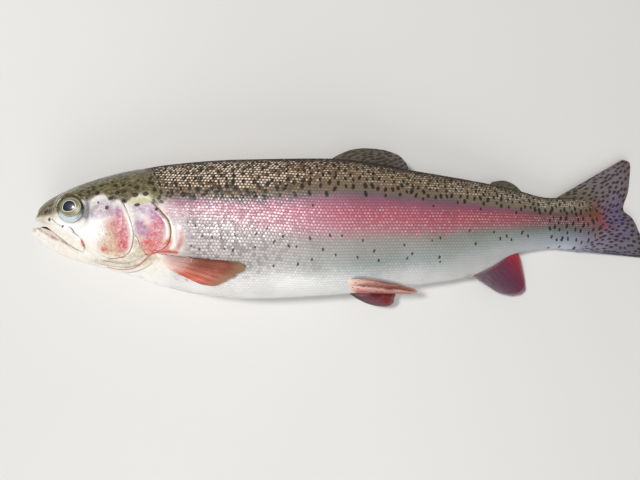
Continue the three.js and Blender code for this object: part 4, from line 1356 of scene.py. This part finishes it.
def join_scales(name, points, values, bake, left):
    """One mesh of many closed scales; their corners run the other way round on the left flank."""
    count, per_scale = points.shape[:2]
    top, rim = scale_faces()
    first = np.arange(count)[:, None] * per_scale
    tops, rims = (first[:, None] + top).reshape(-1, 4), first + rim
    if left:
        tops = tops[:, ::-1]
    else:
        rims = rims[:, ::-1]
    corners = np.concatenate([tops.ravel(), rims.ravel()])
    sizes = np.concatenate([np.full(len(tops), 4), np.full(len(rims), len(rim))])
    mesh = bpy.data.meshes.new(name)
    mesh.vertices.add(count * per_scale)
    mesh.loops.add(len(corners))
    mesh.polygons.add(len(sizes))
    mesh.vertices.foreach_set("co", placed(points).astype(np.float32).ravel())
    mesh.loops.foreach_set("vertex_index", corners.astype(np.int32))
    mesh.polygons.foreach_set("loop_start", np.concatenate([[0], np.cumsum(sizes)[:-1]]).astype(np.int32))
    mesh.update(calc_edges=True)
    layer = mesh.uv_layers.new(name="OFBake")
    layer.data.foreach_set("uv", bake.reshape(-1, 2)[corners].astype(np.float32).ravel())
    coat = bpy.data.objects.new(name, mesh)
    bpy.context.scene.collection.objects.link(coat)
    carry(coat, **values)
    return finish_piece(coat, SCALES, angle=50)


def build_coat():
    """Each flank's scales, in three pieces along the body."""
    cuts = [0, 168, 236, 500]  # s where the pieces start and end
    for left, side, seed in ((True, "left", 5), (False, "right", 6)):
        s, points, values, bake = scale_coat(left, seed)
        for part, (start, end) in enumerate(zip(cuts, cuts[1:])):
            pick = (s >= start) & (s < end)
            picked = {name: value[pick] for name, value in values.items()}
            join_scales(f"scales_{side}_{part + 1}", points[pick], picked, bake[pick], left)


build_coat()

# ------------------------------------------------------------------ eyes
IRIS = dict(s=32.9, y=9.2, long=7.05, tall=6.3)
PUPIL = dict(s=32.3, y=9.8, long=4.0, tall=3.4)
EYE_RINGS, EYE_SIDES = 44, 96
EYE_FRONT = 0.62  # share of the rings that is in front
EYE_DOME, EYE_SINK = 1.75, 0.2  # height of the front, and how deep its edge lies
LENS_BULGE, IRIS_STEP = 0.32, 0.12  # how far the lens stands out, and the globe lies under the iris


def eye_finish():
    """A glossy eye: navy pupil, silver ring, green-gold iris, and the pale globe round it."""
    made, w, shader = material("trout_eye", Coat_Weight=1.0, Coat_Roughness=0.03, Roughness=0.3)
    pupil, iris, below, behind, low = w.carried("pupil", "iris", "below", "behind", "low")
    grain = w.noise(0.5, 3, 0.6)
    lined = w.plus(iris, w.wander(grain, 0.035))
    colour = w.ramp(lined, [
        (0.5, (178, 170, 120)), (0.58, (112, 102, 62)), (0.66, (172, 166, 116)), (0.73, (72, 66, 38)),
        (0.8, (160, 156, 112)), (0.87, (86, 80, 50)), (0.93, (206, 206, 176)), (0.985, (66, 60, 40)),
    ])
    colour = w.lay(colour, (150, 158, 74), w.fade(w.noise(2.4, 2), 0.45, 0.6), low, 0.6)
    globe = w.blend(w.fade(below, 0, 1), (84, 80, 54), (208, 218, 222))
    globe = w.lay(globe, (120, 132, 138), w.fade(grain, 0.5, 0.62, 0, 0.35))
    # Painted shade: a dark crescent on the globe behind the iris.
    globe = w.lay(globe, (58, 42, 34), w.fade(behind, 0.1, 0.9))
    colour = w.lay(colour, globe, w.fade(lined, 0.98, 1.05))
    colour = w.lay(colour, (112, 108, 74), w.fade(pupil, 1.34, 1.2))
    colour = w.lay(colour, (228, 226, 200), w.fade(pupil, 1.2, 1.1))
    dark = w.blend(w.fade(pupil, 0.2, 0.9), (26, 34, 78), (12, 15, 34))
    w.feed(shader["Base Color"], w.lay(colour, dark, w.fade(pupil, 1.06, 0.97)))
    return made


def build_eye(side, mirror):
    """A shallow dome with a bulging lens, closed behind by the bowl of the eyeball."""
    ring = np.linspace(0, 1, EYE_RINGS)[:, None]
    angle = np.linspace(0, 2 * math.pi, EYE_SIDES + 1)[None, :]
    front = ring <= EYE_FRONT
    share = np.where(front, ring / EYE_FRONT, (1 - ring) / (1 - EYE_FRONT))
    share = np.sin(np.clip(share, 0, 1) * math.pi / 2)
    p, q = EYE["radius"] * share * np.cos(angle), EYE["radius"] * share * np.sin(angle)
    at_s, at_y = EYE["s"] + p, EYE["y"] + q
    dp, dq = at_s - PUPIL["s"], at_y - PUPIL["y"]
    pointed = 1 - 0.16 * np.exp(-((np.arctan2(dq, dp) + 2.5) / 0.55) ** 2)
    pupil = np.hypot(dp / PUPIL["long"], dq / PUPIL["tall"]) * pointed
    iris = np.hypot((at_s - IRIS["s"]) / IRIS["long"], (at_y - IRIS["y"]) / IRIS["tall"])
    rest = np.clip(1 - share**2, 0, 1)
    dome = EYE_DOME * rest**0.7 - EYE_SINK + LENS_BULGE * smoothstep(1.5, 0.5, pupil)
    dome = dome - IRIS_STEP * smoothstep(0.92, 1.06, iris)
    height = np.where(front, dome, -EYE["bowl"] * np.sqrt(rest) - EYE_SINK)

    slope_s, slope_y = eye_slopes()
    outward_way = np.array([-slope_s, -slope_y, mirror], float)
    outward_way /= np.linalg.norm(outward_way)
    back_way = np.array([1, 0, mirror * slope_s], float)
    back_way /= np.linalg.norm(back_way)
    up_way = np.cross(outward_way, back_way) * mirror
    middle = np.array([EYE["s"], EYE["y"], lift_at(EYE["s"]) + mirror * flank_at(EYE["s"], EYE["y"])])
    eye = sheet_of(f"eye_{side}_ball", EYE_SIDES + 1, EYE_RINGS)
    shape(eye, middle + p[..., None] * back_way + q[..., None] * up_way + height[..., None] * outward_way)
    # Where the painted shade on the globe behind the iris lies.
    behind = smoothstep(5.6, 7.6, p + 0.1 * q) * smoothstep(-4.5, -0.5, q) * smoothstep(7, 4.2, q)
    below = smoothstep(1, -5, q) - 0.5 * smoothstep(2, 6, p)
    carry(eye, pupil=pupil, iris=iris, below=below, behind=behind, low=smoothstep(1, -4, q))
    weld(eye)
    finish_piece(eye, EYE_FINISH, [f"eye_{side}"], angle=80)


EYE_FINISH = eye_finish()
build_eye("left", 1)
build_eye("right", -1)


# ------------------------------------------------------------------ fins
def along_line(points, shares):
    """Places on a rounded line, at shares of the way from its first point to its last."""
    path = smooth_path(points, 12)
    at = np.linspace(0, 1, len(path))
    return np.interp(shares, at, path[:, 0]), np.interp(shares, at, path[:, 1])


def ray_height(across, out, rays):
    """1 on a fin ray and 0 between; every ray forks twice on its way to the rim."""
    def crest(phase):
        return (0.5 + 0.5 * np.cos(2 * math.pi * phase)) ** 1.3

    phase = across * rays
    once, twice, again = crest(phase + 0.5), crest(2 * phase + 0.5), crest(4 * phase)
    split = smoothstep(0.3, 0.5, out)
    again_split = smoothstep(0.66, 0.84, out)
    return (once * (1 - split) + twice * split) * (1 - again_split) + again * again_split * 0.8


def fin_spots(across, out, lengths, widths, seed, count, apart, size, until=1.0, upto=1.0):
    """Distance to the nearest of a fin's own dark spots, in spot radii; they lie along the rays."""
    rng = np.random.default_rng(seed)
    nearest = np.full(out.shape, FAR)
    root_width, rim_width = widths
    width = root_width + (rim_width - root_width) * out
    chosen = []
    for _ in range(count):
        a, o = rng.uniform(0.01, upto), rng.uniform(0.05, until)
        here = root_width + (rim_width - root_width) * o
        if rng.random() * rim_width > here:
            continue
        length = np.interp(a, across[0], lengths)
        if any(math.hypot((a - b) * here, (o - q) * length) < apart for b, q in chosen):
            continue
        chosen.append((a, o))
        long, wide = size * rng.uniform(0.75, 1.1), size * rng.uniform(0.6, 0.8)
        away = np.hypot((across - a) * width / wide, (out - o) * lengths / long)
        nearest = np.minimum(nearest, away)
    return nearest


FIN_CLEARANCE = 0.04  # least height of a fin over the floor
MEMBRANE_THINNED = 0.62  # how much thinner the membrane is than the rays


def build_fin(name, finish, root, rim, rays, height_at, seed, thick=(1.6, 0.35), per_ray=12,
              steps=46, pleat=0.0, notch=0.02, spots=None, bow=0.0, rayed=1.0):
    """A fin as two sheets of rays and membrane that meet at its edges."""
    rng = np.random.default_rng(seed)
    across = np.linspace(0, 1, rays * per_ray + 1)[None, :]
    out = (np.linspace(0, 1, steps) ** 0.9)[:, None]
    lead = np.exp(-across * rays / 1.1)
    ray = np.clip(ray_height(across, out, rays) * (1 - 0.5 * lead) + 0.8 * lead, 0, 1)
    root_s, root_y = along_line(root, across[0])
    rim_s, rim_y = along_line(rim, across[0])
    edge = ray_height(across, 1.0, rays)[0]
    torn = np.interp(across[0], np.linspace(0, 1, rays + 1), rng.uniform(0, 1, rays + 1) ** 3)
    share = out * (1 - notch * (1 - edge) - 1.3 * notch * torn)
    s = root_s + (rim_s - root_s) * share
    y = root_y + (rim_y - root_y) * share
    length = np.hypot(rim_s - root_s, rim_y - root_y)
    y = y + bow * length * np.sin(math.pi * out) * (across - 0.5)
    middle = height_at(s, y, share, across) + pleat * (ray - 0.5) * smoothstep(0.15, 0.6, out)
    thickness = thick[0] + (thick[1] - thick[0]) * share**0.6
    closing = np.sqrt(np.clip(np.minimum(across, 1 - across) * rays / 0.5, 0, 1))
    closing = closing * smoothstep(1, 0.975, out) * smoothstep(0, 0.02, out)
    half = thickness / 2 * (1 - rayed * MEMBRANE_THINNED * (1 - ray) * smoothstep(0.02, 0.4, out)) * closing
    top = np.stack([s, y, np.maximum(middle + half, FIN_CLEARANCE + 2 * half)], -1)
    under = np.stack([s, y, np.maximum(middle - half, FIN_CLEARANCE)], -1)
    ring = wrapped(top, under)
    fin = sheet_of(f"{name}_rays", ring.shape[1], steps)
    shape(fin, ring)
    values = dict(ray=ray, out=out, across=across, spot=FAR)
    if spots:
        lines = ((root_s, root_y), (rim_s, rim_y))
        widths = [np.hypot(np.diff(line_s), np.diff(line_y)).sum() for line_s, line_y in lines]
        values["spot"] = fin_spots(across, share, length, widths, seed, **spots)
    for value, numbers in values.items():
        numbers = np.broadcast_to(numbers, s.shape)
        carry(fin, **{value: wrapped(numbers, numbers)})
    weld(fin, 1e-7)
    close_ends(fin)
    return finish_piece(fin, finish, [name], angle=60)


RAY_BUNDLE = 95.0  # size of the darker bundles of rays, in thousandths of the fin's breadth


def fin_finish(name, near, far, ray_colour, ray_strength, tip=None, root=None, reached=0.95,
               tipped=0.9, rooted=0.16):
    """Rays and membrane, coloured from the front ray to the last at the root and at the rim."""
    made, w, shader = material(
        name, Coat_Weight=0.5, Coat_Roughness=0.15, Specular_IOR_Level=0.5,
        Subsurface_Weight=0.15, Subsurface_Scale=0.001)
    out, across, ray = w.carried("out", "across", "ray")
    drift = w.wander(w.noise(5, 3), 0.3)
    place = w.plus(across, drift)
    to_rim = w.fade(w.plus(out, drift), 0.1, reached)
    colour = w.blend(to_rim, w.ramp(place, near), w.ramp(place, far))
    streak = w.times(w.fade(ray, 0.25, 0.85), w.fade(out, 0.1, 0.45))
    colour = w.lay(colour, ray_colour, streak, ray_strength)
    lie = w.put("ShaderNodeCombineXYZ", {"X": across, "Y": w.times(out, 0.1)}).outputs[0]
    bundle = w.times(w.fade(w.noise(RAY_BUNDLE, 3, 0.6, lie), 0.48, 0.62), w.fade(out, 0.12, 0.4))
    colour = w.lay(colour, ray_colour, bundle, ray_strength)
    reach = w.line(drift, 0.3, out)
    if root:
        colour = w.lay(colour, root, w.fade(reach, rooted, 0.02))
    if tip:
        colour = w.lay(colour, tip, w.fade(reach, tipped, 0.98, 0, 0.75))
    w.feed(shader["Base Color"], w.lay(colour, SPOT_BLACK, spots_on(w), 0.85))
    w.feed(shader["Roughness"], w.fade(ray, 0, 1, 0.42, 0.3))
    return made


FLOOR_MARGIN = 1.5  # how far inside the belly a paired fin takes its height from
RIM_HEIGHT, ROOT_HEIGHT = 0.55, 1.0  # least heights of a paired fin over the floor


def beside_flank(mirror, stand, sink, rise=0.22):
    """Heights of a paired fin that leaves the flank at its root and lies back over it."""
    def at(s, y, out, across):
        inside = np.maximum(y, belly_at(s) + FLOOR_MARGIN)
        off = -sink + (stand + sink) * smoothstep(0, rise, out)
        z = lift_at(s) + mirror * (flank_at(s, inside) + off)
        return np.maximum(z, RIM_HEIGHT + (ROOT_HEIGHT - RIM_HEIGHT) * (1 - out))

    return at


PECTORAL_ROOT = [(90, -20.4), (90.6, -22.4), (91.8, -25), (94, -28)]
PECTORAL_RIM = [
    (144, -25.6), (148.4, -28.2), (147, -32.2), (142.5, -35), (137, -37.6), (132, -40.2),
    (127, -41.6), (120, -40.8), (113, -37.6),
]
FAR_PECTORAL_DROP = 6.5  # how much lower the right pectoral fin lies


def lowered(points, drop):
    return [(s, y - drop) for s, y in points]


def build_dorsal_fin():
    olive = fin_finish(
        "dorsal_fin_rays", [(0, (100, 88, 66)), (0.6, (92, 78, 58)), (1, (84, 66, 50))],
        [(0, (112, 102, 88)), (0.5, (104, 92, 78)), (1, (98, 84, 94))], (74, 62, 48), 0.35,
        tip=(124, 114, 106))
    build_fin(
        "dorsal_fin", olive,
        [(199, 40.8), (209, 39), (221, 37), (233, 34.8), (243, 32.8)],
        [(230, 49.7), (237, 49.1), (243.5, 47.4), (249, 44.5), (253, 40), (254.4, 35)],
        13, lambda s, y, out, across: lift_at(s) + 0.8 * out, seed=2, bow=-0.2,
        spots=dict(count=2600, apart=2.7, size=1.55, until=0.96))


def build_adipose_fin():
    flesh = fin_finish(
        "adipose_fin_flesh", [(0, (108, 98, 76)), (1, (106, 96, 76))],
        [(0, (88, 80, 66)), (1, (100, 90, 74))], (92, 84, 66), 0.1)
    build_fin(
        "adipose_fin", flesh, [(307, 23), (314, 22), (322, 20.6), (330, 19)],
        [(314, 28.4), (320, 29.3), (325.4, 28.6), (331, 25.6), (335.4, 21.4)],
        6, lambda s, y, out, across: lift_at(s), seed=3, thick=(3.2, 0.9), per_ray=6, steps=26,
        notch=0, rayed=0.06, spots=dict(count=60, apart=3.2, size=0.9))


def build_anal_fin():
    red = fin_finish(
        "anal_fin_rays",
        [(0, (128, 114, 118)), (0.3, (98, 72, 82)), (0.6, (106, 42, 66)), (0.86, (168, 38, 48)),
         (1, (190, 40, 46))],
        [(0, (116, 102, 108)), (0.25, (104, 78, 92)), (0.5, (100, 44, 70)), (0.8, (134, 40, 58)),
         (1, (182, 54, 62))],
        (84, 44, 66), 0.34, tip=(160, 132, 142), root=(160, 148, 156))
    build_fin(
        "anal_fin", red, [(295, -34.5), (303, -33), (312, -28), (322, -21), (330, -17.5)],
        [(320, -49.6), (327, -51.8), (335, -51.8), (340.4, -49), (340.4, -42), (337.6, -28)],
        11, lambda s, y, out, across: lift_at(s) - 5.5 * out**2, seed=4, pleat=0.02, rayed=0.3,
        spots=dict(count=12, apart=5, size=0.7, upto=0.4))


def build_caudal_fin():
    dusky = fin_finish(
        "caudal_fin_rays",
        [(0, (108, 98, 82)), (0.3, (114, 90, 76)), (0.44, (150, 58, 42)), (0.6, (144, 60, 50)),
         (0.72, (132, 120, 132)), (1, (158, 160, 178))],
        [(0, (122, 110, 114)), (0.25, (116, 108, 113)), (0.42, (88, 74, 118)), (0.56, (90, 76, 118)),
         (0.8, (106, 102, 116)), (1, (102, 100, 116))],
        (142, 128, 136), 0.3, tip=(106, 92, 88), reached=0.7, tipped=0.74)
    build_fin(
        "caudal_fin", dusky,
        [(356, 15), (372, 14), (383, 11), (386, 3), (386, -4), (382, -12), (372, -17.4), (362, -18.6)],
        [(411.5, 46), (416, 43.4), (415.4, 34), (414.4, 22), (411.6, 10.6), (417.5, 4), (421.5, -3.5),
         (427, -13.5), (432.6, -22.6), (431.5, -25.4)],
        19, lambda s, y, out, across: lift_at(s) + 1.6 * out * np.sin(2.2 * math.pi * across) ** 2,
        seed=5, thick=(2.2, 0.4), per_ray=14, steps=52, pleat=0.12, notch=0.012,
        spots=dict(count=2200, apart=2.9, size=1.55, until=0.97))


def build_pectoral_fins():
    orange = fin_finish(
        "pectoral_fin_rays",
        [(0, (120, 62, 52)), (0.06, (190, 170, 166)), (0.4, (226, 192, 182)), (0.75, (244, 222, 212)),
         (1, (248, 238, 230))],
        [(0, (84, 48, 40)), (0.07, (140, 88, 66)), (0.3, (168, 102, 82)), (0.5, (216, 144, 124)),
         (0.8, (244, 150, 128)), (1, (240, 170, 146))],
        (134, 64, 50), 0.46, tip=(166, 140, 112), root=(248, 240, 232), reached=0.6, tipped=0.8)
    build_fin(
        "pectoral_fin_left", orange, PECTORAL_ROOT, PECTORAL_RIM, 13,
        beside_flank(1, 1.6, 0.5, 0.3), seed=6, thick=(1.9, 0.4), pleat=0.4, notch=0.025,
        spots=dict(count=90, apart=2.4, size=0.7, upto=0.05, until=0.8))
    build_fin(
        "pectoral_fin_right", orange, lowered(PECTORAL_ROOT, FAR_PECTORAL_DROP),
        lowered(PECTORAL_RIM, FAR_PECTORAL_DROP / 2), 13, beside_flank(-1, 1.2, 2.4), seed=7,
        thick=(1.9, 0.4), pleat=0.3)


def build_pelvic_fins():
    near = fin_finish(
        "pelvic_fin_rays",
        [(0, (230, 196, 190)), (0.28, (224, 168, 154)), (0.42, (168, 92, 78)), (0.5, (112, 54, 48)),
         (0.57, (236, 190, 180)), (0.75, (210, 124, 118)), (1, (196, 104, 102))],
        [(0, (208, 116, 106)), (0.3, (206, 158, 146)), (0.5, (138, 84, 76)), (0.58, (230, 190, 178)),
         (0.8, (206, 150, 140)), (1, (200, 134, 126))],
        (126, 60, 58), 0.36, tip=(206, 170, 154), root=(234, 206, 180), reached=0.8, rooted=0.22)
    build_fin(
        "pelvic_fin_left", near, [(211, -37.2), (210.4, -39.8), (211.2, -42.4), (212.8, -45.2)],
        [(236, -40.9), (248, -42.2), (256, -44), (260, -46.2), (256.4, -47.9), (244, -47.4), (233, -46.4)],
        9, beside_flank(1, 1.5, 1.1, 0.3), seed=8, thick=(1.8, 0.4), bow=-0.13, pleat=0.4,
        spots=dict(count=60, apart=3, size=0.8, upto=0.7, until=0.7))
    # The right pelvic fin is coloured darker and greyer than the left: painted shade.
    far = fin_finish(
        "far_pelvic_fin_in_shade", [(0, (124, 112, 120)), (0.5, (122, 98, 106)), (1, (136, 44, 46))],
        [(0, (118, 108, 116)), (0.4, (118, 92, 98)), (0.65, (118, 18, 26)), (1, (126, 14, 20))],
        (150, 70, 74), 0.2, tip=(128, 96, 94))
    build_fin(
        "pelvic_fin_right", far, [(207.5, -44.5), (210, -45.2), (214, -45.8), (219, -46)],
        [(219, -52.4), (226, -56), (234, -58.3), (242, -58.6), (246, -56), (246.6, -52), (247, -48.6)],
        9, beside_flank(-1, 1.5, 3), seed=9, thick=(1.8, 0.4), pleat=0.3)


build_dorsal_fin()
build_adipose_fin()
build_anal_fin()
build_caudal_fin()
build_pectoral_fins()
build_pelvic_fins()

# ------------------------------------------------------------------ stage, light and camera
AXIS_HEIGHT = 348.6  # camera over the floor
AXIS_S, AXIS_Y = 194.0, -12.1  # the point that the camera looks straight down on
FOCAL_PIXELS, FRAME_PIXELS, SENSOR = 483.0, 640.0, 36.0


FLOOR_SIZE = 6
FLOOR_COLOURS = [(0.3, (0.74, 0.73, 0.71, 1)), (0.7, (0.78, 0.77, 0.75, 1))]
LIGHTS = [  # name, size, power, place, colour
    ("key", 0.3, 19, (-0.7, 0.3, 1.6), (1.0, 0.98, 0.95)),
    ("overhead", 1.2, 4.5, (0.2, -0.4, 1.6), (1, 1, 1)),
    ("belly_fill", 1.1, 9, (0.0, -1.4, 0.75), (0.98, 0.99, 1.0)),
]
SKY_COLOUR, SKY_STRENGTH = (0.9, 0.93, 1.0, 1), 0.2


def build_stage():
    bpy.ops.mesh.primitive_plane_add(size=FLOOR_SIZE)
    floor = bpy.context.object
    floor.name = "floor"
    made, w, shader = material("pale_floor", Roughness=0.7)
    w.feed(shader["Base Color"], w.ramp(w.noise(400, 2), FLOOR_COLOURS))
    floor.data.materials.append(made)


def soft_light(name, size, power, at, colour):
    data = bpy.data.lights.new(name, "AREA")
    data.shape = "DISK"
    data.size = size
    data.energy = power
    data.color = colour
    light = bpy.data.objects.new(name, data)
    bpy.context.scene.collection.objects.link(light)
    light.location = at
    light.rotation_euler = (-Vector(at)).to_track_quat("-Z", "Y").to_euler()


def build_sky():
    world = bpy.data.worlds.new("studio")
    world.use_nodes = True
    sky = world.node_tree.nodes["Background"].inputs
    sky["Color"].default_value = SKY_COLOUR
    sky["Strength"].default_value = SKY_STRENGTH
    bpy.context.scene.world = world
    bpy.context.scene.view_settings.view_transform = "Standard"


def build_camera():
    data = bpy.data.cameras.new("camera")
    data.sensor_width = SENSOR
    data.lens = SENSOR * FOCAL_PIXELS / FRAME_PIXELS
    data.clip_start = 0.01
    camera = bpy.data.objects.new("camera", data)
    bpy.context.scene.collection.objects.link(camera)
    camera.location = placed((AXIS_S, AXIS_Y, AXIS_HEIGHT))
    bpy.context.scene.camera = camera


build_stage()
for light in LIGHTS:
    soft_light(*light)
build_sky()
build_camera()
